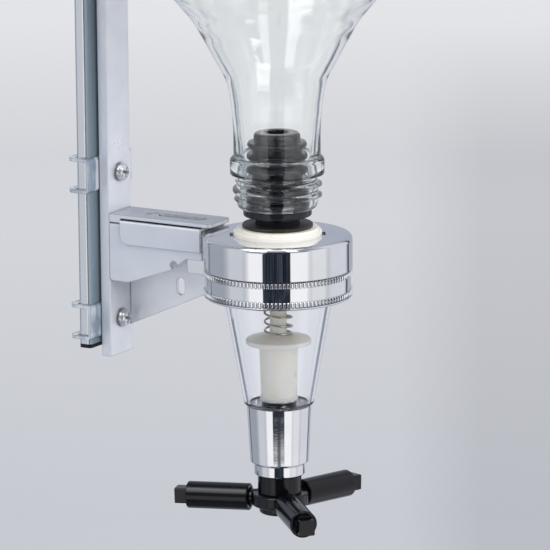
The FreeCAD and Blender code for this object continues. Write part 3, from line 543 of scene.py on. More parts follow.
def grown(name, start, tree, values, crease=35.0):
    """Runs a geometry tree on an object and keeps the result as a plain mesh under a new name."""
    modifier = start.modifiers.new("growth", "NODES")
    modifier.node_group = tree
    for item in tree.interface.items_tree:
        if item.item_type == "SOCKET" and item.in_out == "INPUT" and item.name in values:
            modifier[item.identifier] = values[item.name]
    graph = bpy.context.evaluated_depsgraph_get()
    mesh = bpy.data.meshes.new_from_object(start.evaluated_get(graph), depsgraph=graph)
    mesh.name = name
    mesh.shade_smooth()
    mesh.set_sharp_from_angle(angle=math.radians(crease))
    made = bpy.data.objects.new(name, mesh)
    scene.collection.objects.link(made)
    bpy.data.objects.remove(start)
    return made


def ring_tree():
    """Copies of a small piece round the axis, in two bands."""
    tree = Growth("ring_of_teeth", [("Piece", "Object"), ("Count", "Int"), ("Radius", "Float"),
                                    ("First height", "Float"), ("Second height", "Float"),
                                    ("Axis", "Vector")])
    size = tree.size
    count = size["Count"]
    number = tree.index()
    band = tree.maths("FLOOR", tree.maths("DIVIDE", number, count))
    turn = tree.maths("MULTIPLY", tree.maths("DIVIDE", number, count), 2 * math.pi)
    step = tree.maths("SUBTRACT", size["Second height"], size["First height"])
    height = tree.maths("MULTIPLY_ADD", band, step, size["First height"])
    place = tree.vector(tree.maths("MULTIPLY", tree.maths("COSINE", turn), size["Radius"]),
                        tree.maths("MULTIPLY", tree.maths("SINE", turn), size["Radius"]), height)
    shift = tree.node("ShaderNodeVectorMath", operation="ADD")
    tree.link(place, shift.inputs[0])
    tree.link(size["Axis"], shift.inputs[1])
    points = tree.points(tree.maths("MULTIPLY", count, 2.0), shift.outputs[0])
    teeth = tree.copies(points, size["Piece"], turn=turn)
    return tree.close(tree.joined(size["Geometry"], teeth))


def stack_tree():
    """Copies of a ring down the axis, each a little wider than the one above."""
    tree = Growth("stack_of_rings", [("Piece", "Object"), ("Count", "Int"), ("Top", "Float"),
                                     ("Pitch", "Float"), ("Widening", "Float"), ("Axis", "Vector")])
    size = tree.size
    number = tree.index()
    drop = tree.maths("MULTIPLY", number, size["Pitch"])
    height = tree.maths("SUBTRACT", size["Top"], drop)
    shift = tree.node("ShaderNodeVectorMath", operation="ADD")
    tree.link(tree.vector(0.0, 0.0, height), shift.inputs[0])
    tree.link(size["Axis"], shift.inputs[1])
    wide = tree.maths("MULTIPLY_ADD", number, size["Widening"], 1.0)
    rings = tree.copies(tree.points(size["Count"], shift.outputs[0]), size["Piece"],
                        scale=tree.vector(wide, wide, 1.0))
    return tree.close(tree.joined(size["Geometry"], rings))


def seat_tree():
    """A copy of a piece on each point of the given mesh."""
    tree = Growth("copies_on_seats", [("Piece", "Object")])
    seats = tree.node("GeometryNodeMeshToPoints")
    tree.link(tree.size["Geometry"], seats.inputs[0])
    return tree.close(tree.copies(seats.outputs[0], tree.size["Piece"]))


def coil_tree():
    """A spring: a spiral whose pitch eases to the end pitch over its first and last turn, as round wire."""
    tree = Growth("coil", [("Radius", "Float"), ("Wire radius", "Float"), ("Turns", "Float"),
                           ("Low", "Float"), ("High", "Float"), ("End pitch", "Float"), ("Axis", "Vector")])
    size = tree.size
    spiral = tree.node("GeometryNodeCurveSpiral")
    spiral.inputs["Resolution"].default_value = 64
    tree.link(size["Turns"], spiral.inputs["Rotations"])
    tree.link(size["Radius"], spiral.inputs["Start Radius"])
    tree.link(size["Radius"], spiral.inputs["End Radius"])
    spiral.inputs["Height"].default_value = 0.0
    share = tree.node("GeometryNodeSplineParameter").outputs["Factor"]
    turn = tree.maths("MULTIPLY", share, size["Turns"])
    left = tree.maths("SUBTRACT", size["Turns"], turn)
    rise = tree.maths("SUBTRACT", size["High"], size["Low"])
    free = tree.maths("SUBTRACT", rise, size["End pitch"])
    middle = tree.maths("DIVIDE", free, tree.maths("SUBTRACT", size["Turns"], 1.0))
    extra = tree.maths("MULTIPLY", tree.maths("SUBTRACT", middle, size["End pitch"]), 0.5)

    def eased(value):
        slow = tree.maths("MINIMUM", value, 1.0)
        fast = tree.maths("MAXIMUM", tree.maths("SUBTRACT", value, 1.0), 0.0)
        start = tree.maths("MULTIPLY_ADD", tree.maths("MULTIPLY", slow, slow), extra,
                           tree.maths("MULTIPLY", slow, size["End pitch"]))
        return tree.maths("MULTIPLY_ADD", fast, middle, start)

    low_half = tree.maths("ADD", size["Low"], eased(turn))
    high_half = tree.maths("SUBTRACT", size["High"], eased(left))
    upper = tree.maths("GREATER_THAN", tree.maths("MULTIPLY", share, 2.0), 1.0)
    height = tree.maths("MULTIPLY_ADD", upper, tree.maths("SUBTRACT", high_half, low_half), low_half)
    place = tree.node("GeometryNodeInputPosition").outputs[0]
    parts = tree.node("ShaderNodeSeparateXYZ")
    tree.link(place, parts.inputs[0])
    shift = tree.node("ShaderNodeVectorMath", operation="ADD")
    tree.link(tree.vector(parts.outputs[0], parts.outputs[1], height), shift.inputs[0])
    tree.link(size["Axis"], shift.inputs[1])
    line = tree.moved(spiral.outputs[0], shift.outputs[0])
    section = tree.node("GeometryNodeCurvePrimitiveCircle")
    section.inputs["Resolution"].default_value = 20
    tree.link(size["Wire radius"], section.inputs["Radius"])
    wire = tree.node("GeometryNodeCurveToMesh")
    tree.link(line, wire.inputs["Curve"])
    tree.link(section.outputs[0], wire.inputs["Profile Curve"])
    wire.inputs["Fill Caps"].default_value = True
    return tree.close(wire.outputs[0])


def thread_tree():
    """A rounded screw thread raised on a turned wall between two heights."""
    tree = Growth("thread", [("Pitch", "Float"), ("Depth", "Float"), ("Low", "Float"), ("High", "Float"),
                             ("Root radius", "Float"), ("Axis", "Vector")])
    size = tree.size
    place = tree.node("ShaderNodeVectorMath", operation="SUBTRACT")
    tree.link(tree.node("GeometryNodeInputPosition").outputs[0], place.inputs[0])
    tree.link(size["Axis"], place.inputs[1])
    parts = tree.node("ShaderNodeSeparateXYZ")
    tree.link(place.outputs[0], parts.inputs[0])
    x, y, height = parts.outputs
    radius = tree.maths("SQRT", tree.maths("ADD", tree.maths("MULTIPLY", x, x), tree.maths("MULTIPLY", y, y)))
    turn = tree.maths("DIVIDE", tree.maths("ARCTAN2", y, x), 2 * math.pi)
    phase = tree.maths("ADD", tree.maths("DIVIDE", height, size["Pitch"]), turn)
    wave = tree.maths("ABSOLUTE", tree.maths("SUBTRACT", tree.maths("FRACT", phase), 0.5))
    ridge = tree.ramp(wave, 1.0, 0.0, 0.10, 0.30)
    soft = tree.maths("MULTIPLY", tree.maths("MULTIPLY", ridge, ridge),
                      tree.maths("SUBTRACT", 3.0, tree.maths("MULTIPLY", ridge, 2.0)))
    rise = tree.maths("DIVIDE", tree.maths("SUBTRACT", height, size["Low"]), size["Pitch"])
    fall = tree.maths("DIVIDE", tree.maths("SUBTRACT", size["High"], height), size["Pitch"])
    inside = tree.maths("MULTIPLY", tree.ramp(rise, 0.0, 1.0, 0.0, 0.3), tree.ramp(fall, 0.0, 1.0, 0.0, 0.3))
    outer = tree.maths("GREATER_THAN", radius, tree.maths("MULTIPLY", size["Root radius"], 0.99))
    depth = tree.maths("MULTIPLY", tree.maths("MULTIPLY", soft, inside),
                       tree.maths("MULTIPLY", outer, size["Depth"]))
    way = tree.node("ShaderNodeVectorMath", operation="NORMALIZE")
    tree.link(tree.vector(x, y, 0.0), way.inputs[0])
    push = tree.node("ShaderNodeVectorMath", operation="SCALE")
    tree.link(way.outputs[0], push.inputs[0])
    tree.link(depth, push.inputs["Scale"])
    moved = tree.node("GeometryNodeSetPosition")
    tree.link(size["Geometry"], moved.inputs["Geometry"])
    tree.link(push.outputs[0], moved.inputs["Offset"])
    return tree.close(moved.outputs[0])


# Knurled ring

RING_TOP = -10.7
RING_FOOT = -19.4
RING_PLAIN = 22.5
RING_LIP = 22.9
RING_BORE = 17.0
COLLAR_RADIUS = 20.85
COLLAR_BORE = 19.25
COLLAR_TOP = -5.0
COLLAR_FLOOR = -17.3
TEETH = 112
TOOTH_HALF = 0.80
TOOTH_SLOPE = 0.22
TOOTH_ROOT = -0.1
UPPER_BAND_DROP = 0.95
LOWER_BAND_RISE = 1.75


def make_tooth():
    """One tooth in metres: a rounded section across the ring, sloped off at both ends."""
    tooth = bmesh.new()
    section = [(-0.52, TOOTH_ROOT), (-0.36, 0.34), (-0.15, 0.53), (0.15, 0.53), (0.36, 0.34),
               (0.52, TOOTH_ROOT)]
    flat_half = TOOTH_HALF - TOOTH_SLOPE
    ends = []
    for height, inward in ((-TOOTH_HALF, TOOTH_SLOPE), (-flat_half, 0.0), (flat_half, 0.0),
                           (TOOTH_HALF, TOOTH_SLOPE)):
        ends.append([tooth.verts.new((max(TOOTH_ROOT, out - inward) * MM, across * MM, height * MM))
                     for across, out in section])
    for low, high in zip(ends, ends[1:]):
        for index in range(len(section)):
            after = (index + 1) % len(section)
            tooth.faces.new((low[index], low[after], high[after], high[index]))
    tooth.faces.new(ends[0])
    tooth.faces.new(ends[-1])
    bmesh.ops.recalc_face_normals(tooth, faces=tooth.faces)
    mesh = bpy.data.meshes.new("tooth")
    tooth.to_mesh(mesh)
    tooth.free()
    piece = bpy.data.objects.new("tooth", mesh)
    scene.collection.objects.link(piece)
    return piece


def make_knurled_ring():
    """The ring with its two knurled bands and the plain lip below them."""
    profile = rounded([(RING_BORE, RING_FOOT, 0.2), (22.4, RING_FOOT, 0.5),
                       (RING_LIP, RING_FOOT + 0.45, 0.25), (RING_LIP, RING_FOOT + 0.75, 0.1),
                       (RING_PLAIN, RING_FOOT + 0.85),
                       (RING_PLAIN, RING_TOP, 0.2), (COLLAR_RADIUS, RING_TOP), (COLLAR_RADIUS, COLLAR_TOP),
                       (COLLAR_BORE, COLLAR_TOP), (COLLAR_BORE, COLLAR_FLOOR), (RING_BORE, COLLAR_FLOOR)], 5)
    body = lathe("ring_body", profile, 220)
    piece = make_tooth()
    ring = grown("knurled_ring_finish", body, ring_tree(), {
        "Piece": piece, "Count": TEETH, "Radius": RING_PLAIN * MM,
        "First height": (RING_TOP - UPPER_BAND_DROP) * MM,
        "Second height": (RING_FOOT + LOWER_BAND_RISE) * MM, "Axis": AXIS,
        "Material": finishes["ring_chrome"]})
    bpy.data.objects.remove(piece)
    finished(ring, "polished_chrome", "measure", "knurled_ring")
    ring.data.materials[0] = finishes["ring_chrome"]
    return ring


# Bottle

LIP = 8.5
BEAD_LOW = 18.1
BEAD_TOP = 24.3
RIDGE = 67.5
BASE = 296.5
BODY_RADIUS = 40.0
SHOULDER_RADIUS = 54.3
SHOULDER_TURN = 31.0
SHOULDER_SLOPE = 40
GLASS = 2.2
FINISH_RADIUS = 12.55
THREAD_PITCH = 3.4
THREAD_DEPTH = 1.2
BASE_EDGE = 6.0
DOME_REACH = 26.0
DOME_RISE = 5.0


def arc_points(centre, radius, first, last, steps):
    """Points of an arc, with its angles in degrees."""
    angles = [math.radians(first + (last - first) * step / steps) for step in range(steps + 1)]
    return [(centre[0] + radius * math.cos(angle), centre[1] + radius * math.sin(angle)) for angle in angles]


def smooth_line(points, steps):
    """A curve through the given points, with a few steps from each to the next."""
    line = []
    for index in range(len(points) - 1):
        before = Vector(points[max(index - 1, 0)])
        first = Vector(points[index])
        last = Vector(points[index + 1])
        after = Vector(points[min(index + 2, len(points) - 1)])
        for step in range(steps):
            share = step / steps
            bend = before * 2 - first * 5 + last * 4 - after
            twist = first * 3 - before - last * 3 + after
            place = (first * 2 + (last - before) * share + bend * share ** 2 + twist * share ** 3) / 2
            line.append((place.x, place.y))
    line.append(tuple(points[-1]))
    return line


def make_bottle():
    """The bottle as one clear body: lip, threaded finish, bead, neck, cone, ridge, shoulder and base."""
    thread_low = LIP + 1.7
    thread_high = BEAD_LOW - 0.5
    rows = 60
    outer = [(10.6, LIP)] + arc_points((11.3, LIP + 1.0), 1.0, -90, 0, 5)
    outer += [(12.3, LIP + 1.4), (FINISH_RADIUS, thread_low)]
    outer += [(FINISH_RADIUS, thread_low + (thread_high - thread_low) * row / rows)
              for row in range(1, rows + 1)]
    outer += rounded([(FINISH_RADIUS, BEAD_LOW - 0.3), (12.9, BEAD_LOW), (14.5, BEAD_LOW + 0.2, 1.5),
                      (14.6, BEAD_TOP - 0.1, 1.7), (13.4, BEAD_TOP + 0.3, 0.6), (13.4, BEAD_TOP + 1.6),
                      (5.0, BEAD_TOP)], 7)[1:-1]
    outer += smooth_line([(13.4, 28.0), (13.4, 32.0), (13.65, 36.9), (14.0, 40.0), (14.4, 43.2), (15.0, 46.3),
                          (16.05, 49.5), (17.7, 52.6), (19.4, 55.7), (21.1, 58.9), (22.8, 62.0), (24.6, 65.2),
                          (25.8, 67.0), (26.9, 68.5), (28.5, 70.4), (30.2, 72.4), (31.9, 74.3)], 4)
    centre = (BODY_RADIUS - SHOULDER_RADIUS, RIDGE + SHOULDER_RADIUS * math.sin(math.radians(SHOULDER_SLOPE)))
    outer += arc_points(centre, SHOULDER_RADIUS, -SHOULDER_TURN, 0, 20)[1:]
    outer += [(BODY_RADIUS, height) for height in (150.0, 200.0, 250.0)]
    corner = (BODY_RADIUS - BASE_EDGE, BASE - BASE_EDGE)
    outer += arc_points(corner, BASE_EDGE, 0, 90, 8)
    dome = (DOME_REACH ** 2 + DOME_RISE ** 2) / (2 * DOME_RISE)
    edge = math.degrees(math.asin(DOME_REACH / dome))
    dome_centre = (0.0, BASE - DOME_RISE + dome)
    outer += arc_points(dome_centre, dome, -90 + edge, -90, 8)
    inner = arc_points(dome_centre, dome + GLASS, -90, -90 + edge, 8)
    inner += arc_points(corner, BASE_EDGE - GLASS, 90, 0, 6)
    inner += [(BODY_RADIUS - GLASS, height) for height in (250.0, 200.0, 150.0)]
    inner += arc_points(centre, SHOULDER_RADIUS - GLASS, 0, -SHOULDER_TURN, 18)
    inner += smooth_line([(28.6, 73.6), (26.9, 71.6), (25.2, 69.6), (23.8, 67.6), (22.3, 65.0), (20.5, 62.0),
                          (18.8, 58.9), (17.1, 55.7), (15.4, 52.6), (13.8, 49.5), (12.85, 46.3),
                          (12.35, 43.2), (12.0, 40.0), (11.75, 36.9), (11.5, 33.5), (11.25, 30.0),
                          (11.0, 27.0), (10.7, 24.0), (10.35, 21.0), (10.1, 18.0), (10.0, 15.0)], 3)
    inner += [(10.0, 12.0), (10.0, LIP + 0.5), (10.2, LIP + 0.1)]
    body = lathe("bottle_body", outer + inner, 176, 50.0)
    bottle = grown("bottle_finish", body, thread_tree(), {
        "Pitch": THREAD_PITCH * MM, "Depth": THREAD_DEPTH * MM, "Low": (thread_low + 0.3) * MM,
        "High": (thread_high - 0.2) * MM, "Root radius": FINISH_RADIUS * MM, "Axis": AXIS,
        "Material": finishes["bottle_glass"]}, 50.0)
    return finished(bottle, "bottle_glass", "bottle", "bottle", "bottle_neck")


# Stopper

CORE_TOP = 32.0
CORE_RADIUS = 7.7
CORE_BORE = 3.5
PLUG_RADIUS = 9.75
FLANGE_RADIUS = 10.6
FLANGE_TOP = 8.45
FLANGE_FOOT = 6.05
SPIGOT_RADIUS = 6.9
SPIGOT_BORE = 4.5
SPIGOT_FOOT = -7.0
RIB_COUNT = 4
RIB_TOP = 28.1
RIB_PITCH = 3.6
RIB_WIDENING = 0.03
FINE_COUNT = 4
FINE_TOP = 15.4
FINE_PITCH = 1.3
FINE_WIDENING = 0.006


def make_stopper():
    """The stopper's bored core with its flange and spigot, four ribs that grow, and fine rings below."""
    core = rounded([(CORE_BORE, 7.0), (CORE_BORE, CORE_TOP, 0.5), (7.2, CORE_TOP, 1.2), (7.3, 29.2, 0.4),
                    (CORE_RADIUS, 29.0, 0.3), (CORE_RADIUS, 10.9), (PLUG_RADIUS, 10.7, 0.4),
                    (PLUG_RADIUS, 8.6, 0.2), (8.9, FLANGE_TOP), (FLANGE_RADIUS, FLANGE_TOP, 0.5),
                    (FLANGE_RADIUS, FLANGE_FOOT, 0.5), (SPIGOT_RADIUS, FLANGE_FOOT, 0.3),
                    (SPIGOT_RADIUS, SPIGOT_FOOT, 0.6), (SPIGOT_BORE, SPIGOT_FOOT),
                    (SPIGOT_BORE, FLANGE_FOOT)], 5)
    body = lathe("stopper_core", core, 128)
    rib = lathe("rib", rounded([(7.0, -1.0), (9.3, -0.85, 0.8), (9.3, 0.85, 0.8), (7.0, 1.0)], 7), 128)
    fine = lathe("fine_ring", rounded([(7.6, -0.45), (9.6, -0.4, 0.3), (9.6, 0.35, 0.3), (7.6, 0.5)], 4), 128)
    for piece in (rib, fine):
        piece.data.transform(Matrix.Translation(-AXIS))
    stack = stack_tree()
    paint = finishes["black_rubber"]
    ribbed = grown("stopper_ribbed", body, stack, {
        "Piece": rib, "Count": RIB_COUNT, "Top": RIB_TOP * MM, "Pitch": RIB_PITCH * MM,
        "Widening": RIB_WIDENING, "Axis": AXIS, "Material": paint})
    stopper = grown("stopper_finish", ribbed, stack, {
        "Piece": fine, "Count": FINE_COUNT, "Top": FINE_TOP * MM, "Pitch": FINE_PITCH * MM,
        "Widening": FINE_WIDENING, "Axis": AXIS, "Material": paint})
    bpy.data.objects.remove(rib)
    bpy.data.objects.remove(fine)
    return finished(stopper, "black_rubber", "bottle", "stopper")


# Springs

def make_spring(name, body, node, radius, wire, turns, low, high, end_pitch):
    """A coil of the given outer radius between two heights, which flattens towards its anchor."""
    start = bpy.data.objects.new("spring_start", bpy.data.meshes.new("spring_start"))
    scene.collection.objects.link(start)
    spring = grown(name, start, coil_tree(), {
        "Radius": (radius - wire) * MM, "Wire radius": wire * MM, "Turns": turns, "Low": (low + wire) * MM,
        "High": (high - wire) * MM, "End pitch": end_pitch * MM, "Axis": AXIS,
        "Material": finishes["spring_steel"]}, 60.0)
    finished(spring, "spring_steel", body, node)
    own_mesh(spring)
    return spring


# Clip screws

HEAD_RADIUS = 3.0
CROWN = 2.6
RECESS_DEPTH = 1.5
RECESS_HALF = 0.42
RECESS_REACH = 1.75
RECESS_CENTRE = 0.85
RECESS_TURN = 17
SHANK_RADIUS = 1.5
SHANK_LENGTH = 4.5
SCREW_HEIGHTS = (-32.5, 14.3, 330.0)


def make_screw():
    """One screw in metres, with its head's seat at the origin: a crowned pan head with a cross recess."""
    head = bmesh.new()
    rings = 26
    segments = 96
    shank_segments = 48
    rows = []
    for ring in range(rings + 1):
        radius = HEAD_RADIUS * ring / rings
        row = []
        for index in range(segments if ring else 1):
            turn = 2 * math.pi * index / segments
            x = radius * math.cos(turn)
            z = radius * math.sin(turn)
            share = radius / HEAD_RADIUS
            high = CROWN * (1 - share ** 4.0) ** 0.5
            across = max(0.0, min(1.0, (RECESS_HALF - min(abs(x), abs(z))) / 0.16))
            along = max(0.0, min(1.0, (RECESS_REACH - max(abs(x), abs(z))) / 0.5))
            centre = max(0.0, min(1.0, (RECESS_CENTRE - radius) / 0.35))
            high -= max(across * along, centre) * RECESS_DEPTH
            row.append(head.verts.new((x, -high, z)))
        rows.append(row)
    for index in range(segments):
        after = (index + 1) % segments
        head.faces.new((rows[0][0], rows[1][index], rows[1][after]))
        for inner, outer in zip(rows[1:], rows[2:]):
            head.faces.new((inner[index], outer[index], outer[after], inner[after]))
    shank = []
    turns = [2 * math.pi * index / shank_segments for index in range(shank_segments)]
    for depth in (0.0, SHANK_LENGTH):
        shank.append([head.verts.new((SHANK_RADIUS * math.cos(turn), depth, SHANK_RADIUS * math.sin(turn)))
                      for turn in turns])
    for index in range(shank_segments):
        after = (index + 1) % shank_segments
        head.faces.new((shank[0][index], shank[0][after], shank[1][after], shank[1][index]))
    head.faces.new(shank[0])
    head.faces.new(shank[1])
    head.faces.new(rows[-1])
    bmesh.ops.recalc_face_normals(head, faces=head.faces)
    mesh = bpy.data.meshes.new("screw")
    head.to_mesh(mesh)
    head.free()
    mesh.transform(Matrix.Rotation(math.radians(RECESS_TURN), 4, "Y") @ Matrix.Scale(MM, 4))
    piece = bpy.data.objects.new("screw", mesh)
    scene.collection.objects.link(piece)
    return piece


def make_clip_screws():
    """One screw on each clip."""
    piece = make_screw()
    seats = bpy.data.meshes.new("screw_seats")
    seats.from_pydata([at(0, SCREW_FACE, height) for height in SCREW_HEIGHTS], [], [])
    start = bpy.data.objects.new("screw_seats", seats)
    scene.collection.objects.link(start)
    screws = grown("clip_screws_finish", start, seat_tree(), {
        "Piece": piece, "Material": finishes["fastener_steel"]})
    bpy.data.objects.remove(piece)
    return finished(screws, "fastener_steel", "rack", "clip_screws")


make_knurled_ring()
make_bottle()
make_stopper()
make_spring("plunger_spring_finish", "measure", "plunger_spring", radius=4.6, wire=0.35, turns=6.5,
            low=-31.6, high=-14.1, end_pitch=1.2)
make_spring("support_spring_finish", "upper_slide", "support_spring", radius=6.0, wire=0.5, turns=8.0,
            low=310.7, high=340.0, end_pitch=1.6)
make_clip_screws()


# Studio

FLOOR_HEIGHT = cad_box[0].z - 0.12
FLOOR_HALF = 30.0
NEAR_PAPER = (0.57, 0.588, 0.628)
MIDDLE_PAPER = (0.685, 0.70, 0.73)
FAR_PAPER = (0.83, 0.842, 0.868)
SHADED_PAPER = (0.0, 0.0, 0.02)
GLOW_THROUGH_GLASS = 1.14
VIEW_CENTRE = 0.064
VIEW_START = 1.354


def make_floor():
    """A wide pale floor: it keeps the object's shadow, and lets reflections see the studio round it."""
    mesh = bpy.data.meshes.new("floor")
    corners = [(-FLOOR_HALF, -FLOOR_HALF), (FLOOR_HALF, -FLOOR_HALF), (FLOOR_HALF, FLOOR_HALF),
               (-FLOOR_HALF, FLOOR_HALF)]
    mesh.from_pydata([(x, y, FLOOR_HEIGHT) for x, y in corners], [], [(0, 1, 2, 3)])
    floor = bpy.data.objects.new("floor", mesh)
    scene.collection.objects.link(floor)
    made, tree, shader, place = finish_material("floor_paper")
    grain = tree.noise(place, 400.0)
    turned = tree.node("ShaderNodeVectorRotate", rotation_type="Z_AXIS")
    tree.link(place, turned.inputs["Vector"])
    turned.inputs["Angle"].default_value = -CAMERA_AZIMUTH
    parts = tree.node("ShaderNodeSeparateXYZ")
    tree.link(turned.outputs[0], parts.inputs[0])
    # After this turn, +Y runs away from the camera and +X to its right
    away = parts.outputs["Y"]
    right = parts.outputs["X"]
    # Painted shade: the paper is darker towards the camera, and darker still in a wedge to the right
    tone = tree.mix(tree.ramp(away, 0.0, 1.0, 0.40, 1.0), colour(*NEAR_PAPER), colour(*MIDDLE_PAPER))
    tone = tree.mix(tree.ramp(away, 0.0, 1.0, 1.2, 1.7), tone, colour(*FAR_PAPER))
    off_centre = tree.maths("SUBTRACT", right, VIEW_CENTRE)
    slant = tree.maths("DIVIDE", off_centre, tree.maths("ADD", away, VIEW_START))
    dim = tree.maths("MULTIPLY", tree.ramp(slant, 0.0, 0.15, 0.028, 0.048),
                     tree.ramp(away, 1.0, 0.0, 1.16, 1.66))
    tone = tree.mix(dim, tone, colour(*SHADED_PAPER))
    tone = tree.mix(tree.maths("MULTIPLY", grain, 0.03), tone, colour(0.5, 0.5, 0.5))
    tree.link(tone, shader.inputs["Base Color"])
    shader.inputs["Roughness"].default_value = 0.9
    shader.inputs["Specular IOR Level"].default_value = 0.0
    path = tree.node("ShaderNodeLightPath")
    # Glass sees the floor only in a strip behind the object, and the studio past the strip's edges
    side = tree.ramp(tree.maths("ABSOLUTE", off_centre), 0.0, 1.0, 0.22, 0.34)
    near = tree.ramp(away, 1.0, 0.0, 0.05, 0.25)
    outside = tree.maths("MAXIMUM", side, near)
    open_way = tree.maths("MAXIMUM", path.outputs["Is Glossy Ray"],
                          tree.maths("MULTIPLY", path.outputs["Is Transmission Ray"], outside))
    pale = tree.node("ShaderNodeEmission")
    tree.link(tone, pale.inputs["Color"])
    pale.inputs["Strength"].default_value = GLOW_THROUGH_GLASS
    through = tree.node("ShaderNodeMixShader")
    tree.link(path.outputs["Is Transmission Ray"], through.inputs[0])
    tree.link(shader.outputs[0], through.inputs[1])
    tree.link(pale.outputs[0], through.inputs[2])
    clear = tree.node("ShaderNodeBsdfTransparent")
    blend = tree.node("ShaderNodeMixShader")
    tree.link(open_way, blend.inputs[0])
    tree.link(through.outputs[0], blend.inputs[1])
    tree.link(clear.outputs[0], blend.inputs[2])
    tree.link(blend.outputs[0], made.node_tree.nodes["Material Output"].inputs["Surface"])
    mesh.materials.append(made)


# The studio's tones: what the camera sees, what lights the object, and what shows in reflections
PALE = (0.66, 0.67, 0.70)
PLAIN_LIGHT = (0.90, 0.90, 0.91)
LOW_REFLECTION = (0.20, 0.21, 0.25)
HIGH_REFLECTION = (0.34, 0.35, 0.40)
REFLECTION_BEHIND = (0.44, 0.47, 0.55)
LOW_THROUGH_GLASS = (0.76, 0.77, 0.80)
HIGH_THROUGH_GLASS = (0.92, 0.92, 0.93)

# Panels: a window of bearings, a window of heights and a tone. A window runs from one angle to another,
# in degrees, with soft edges of the third number, and bearing 0 lies towards the camera
REFLECTED_PANELS = (
    ((84, 134, 6.0), (-60, 60, 8), (0.76, 0.77, 0.83)),
    ((-138, -88, 8.0), (-60, 60, 8), (0.38, 0.41, 0.47)),
    ((50, 84, 6.0), (-60, 30, 8), (0.86, 0.87, 0.90)),
    ((-88, -50, 8.0), (-60, 45, 8), (0.68, 0.70, 0.75)),
    ((5, 50, 5.0), (-26, 8, 3), (1.08, 1.08, 1.10)),
    ((-50, -8, 5.0), (-26, 4, 3), (1.08, 1.08, 1.10)),
    ((17, 36, 2.0), (36, 60, 4), (2.8, 2.8, 2.8)),
    ((-50, -24, 2.0), (34, 56, 5), (3.2, 3.2, 3.2)),
    ((-78, -28, 4.0), (50, 68, 5), (5.2, 5.2, 5.3)),
    ((-80, 80, 8.0), (66, 88, 4), (1.8, 1.8, 1.85)),
    ((-140, -134, 0.6), (-60, 30, 6), (0.06, 0.06, 0.065)),
    ((136, 142, 0.6), (-60, 30, 6), (0.06, 0.06, 0.065)))
PANELS_THROUGH_GLASS = (
    ((76, 126, 8.0), (-70, 70, 8), (0.34, 0.36, 0.40)),
    ((-126, -76, 8.0), (-70, 70, 8), (0.34, 0.36, 0.40)),
    ((137, 151, 2.5), (-70, 70, 8), (0.17, 0.20, 0.27)),
    ((-151, -137, 2.5), (-70, 70, 8), (0.17, 0.20, 0.27)))
DARK_GAP = ((-24, 19, 0.6), (-20.6, 30, 0.25))
GAP_TONES = ((0.012, 0.014, 0.02), (0.08, 0.10, 0.14))


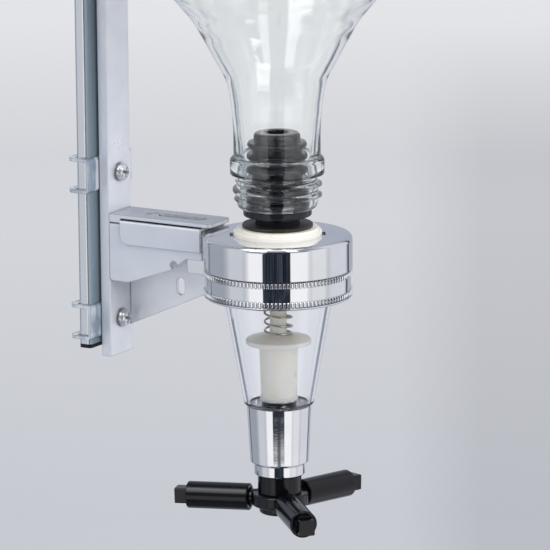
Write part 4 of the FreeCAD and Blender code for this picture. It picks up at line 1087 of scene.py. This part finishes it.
def make_studio_world():
    """Soft light all round: pale to the camera, and lamp panels with dark gaps in reflections."""
    world = bpy.data.worlds.new("studio")
    scene.world = world
    world.use_nodes = True
    tree = Tree(world.node_tree)
    background = world.node_tree.nodes["Background"]
    path = tree.node("ShaderNodeLightPath")
    way = tree.node("ShaderNodeTexCoord").outputs["Generated"]
    turn = tree.node("ShaderNodeVectorRotate", rotation_type="Z_AXIS")
    tree.put(way, turn.inputs["Vector"])
    # After this turn, the direction from the object to the camera lies along +X
    turn.inputs["Angle"].default_value = -math.atan2(-math.cos(CAMERA_AZIMUTH), math.sin(CAMERA_AZIMUTH))
    parts = tree.node("ShaderNodeSeparateXYZ")
    tree.link(turn.outputs[0], parts.inputs[0])
    bearing = tree.maths("ARCTAN2", parts.outputs["Y"], parts.outputs["X"])
    height = tree.maths("ARCSINE", parts.outputs["Z"])

    def window(value, low, high, soft):
        low = math.radians(low)
        high = math.radians(high)
        soft = math.radians(soft)
        rise = tree.ramp(value, 0.0, 1.0, low - soft, low + soft)
        fall = tree.ramp(value, 1.0, 0.0, high - soft, high + soft)
        return tree.maths("MULTIPLY", rise, fall)

    def panel(level, wide, tall, tone):
        share = tree.maths("MULTIPLY", window(bearing, *wide), window(height, *tall))
        return tree.mix(share, level, colour(*tone))

    level = tree.mix(tree.ramp(height, 0.0, 1.0, -0.3, 0.8), colour(*LOW_REFLECTION),
                     colour(*HIGH_REFLECTION))
    behind = tree.maths("SUBTRACT", 1.0, window(bearing, -138, 138, 3))
    level = tree.mix(behind, level, colour(*REFLECTION_BEHIND))
    for wide, tall, tone in REFLECTED_PANELS:
        level = panel(level, wide, tall, tone)
    gap_wide, gap_tall = DARK_GAP
    gap = tree.maths("MULTIPLY", window(bearing, *gap_wide), window(height, *gap_tall))
    streaks = tree.noise(tree.stretched(way, (1.0, 1.0, 0.1)), 70.0, 2.0)
    dark, less_dark = GAP_TONES
    streaked = tree.mix(tree.ramp(streaks, 0.0, 1.0, 0.45, 0.7), colour(*dark), colour(*less_dark))
    level = tree.mix(gap, level, streaked)

    # Clear pieces see pale studio walls with darker sides, and the reflections' panels towards the camera
    seen = tree.mix(tree.ramp(height, 0.0, 1.0, -0.5, 0.9), colour(*LOW_THROUGH_GLASS),
                    colour(*HIGH_THROUGH_GLASS))
    for wide, tall, tone in PANELS_THROUGH_GLASS:
        seen = panel(seen, wide, tall, tone)
    seen = tree.mix(window(bearing, -78, 78, 6), seen, level)
    plain = colour(*PLAIN_LIGHT)
    seen = tree.mix(tree.ramp(path.outputs["Diffuse Depth"], 0.0, 1.0), seen, plain)
    shown = tree.mix(path.outputs["Is Glossy Ray"], plain, level)
    shown = tree.mix(path.outputs["Is Transmission Ray"], shown, seen)
    shown = tree.mix(path.outputs["Is Camera Ray"], shown, colour(*PALE))
    tree.link(shown, background.inputs["Color"])
    background.inputs["Strength"].default_value = 1.0


def make_lamp(name, place, aim, width, height, watts):
    """A rectangular area lamp that reflections don't see."""
    data = bpy.data.lights.new(name, "AREA")
    data.shape = "RECTANGLE"
    data.size = width
    data.size_y = height
    data.energy = watts
    lamp = bpy.data.objects.new(name, data)
    lamp.location = place
    lamp.rotation_mode = "QUATERNION"
    lamp.rotation_quaternion = (place - aim).to_track_quat("Z", "Y")
    lamp.visible_glossy = False
    scene.collection.objects.link(lamp)


make_floor()
make_studio_world()
make_lamp("key_lamp", at(-500, -1200, 700), at(0, 0, 0), 0.9, 0.9, 10.0)
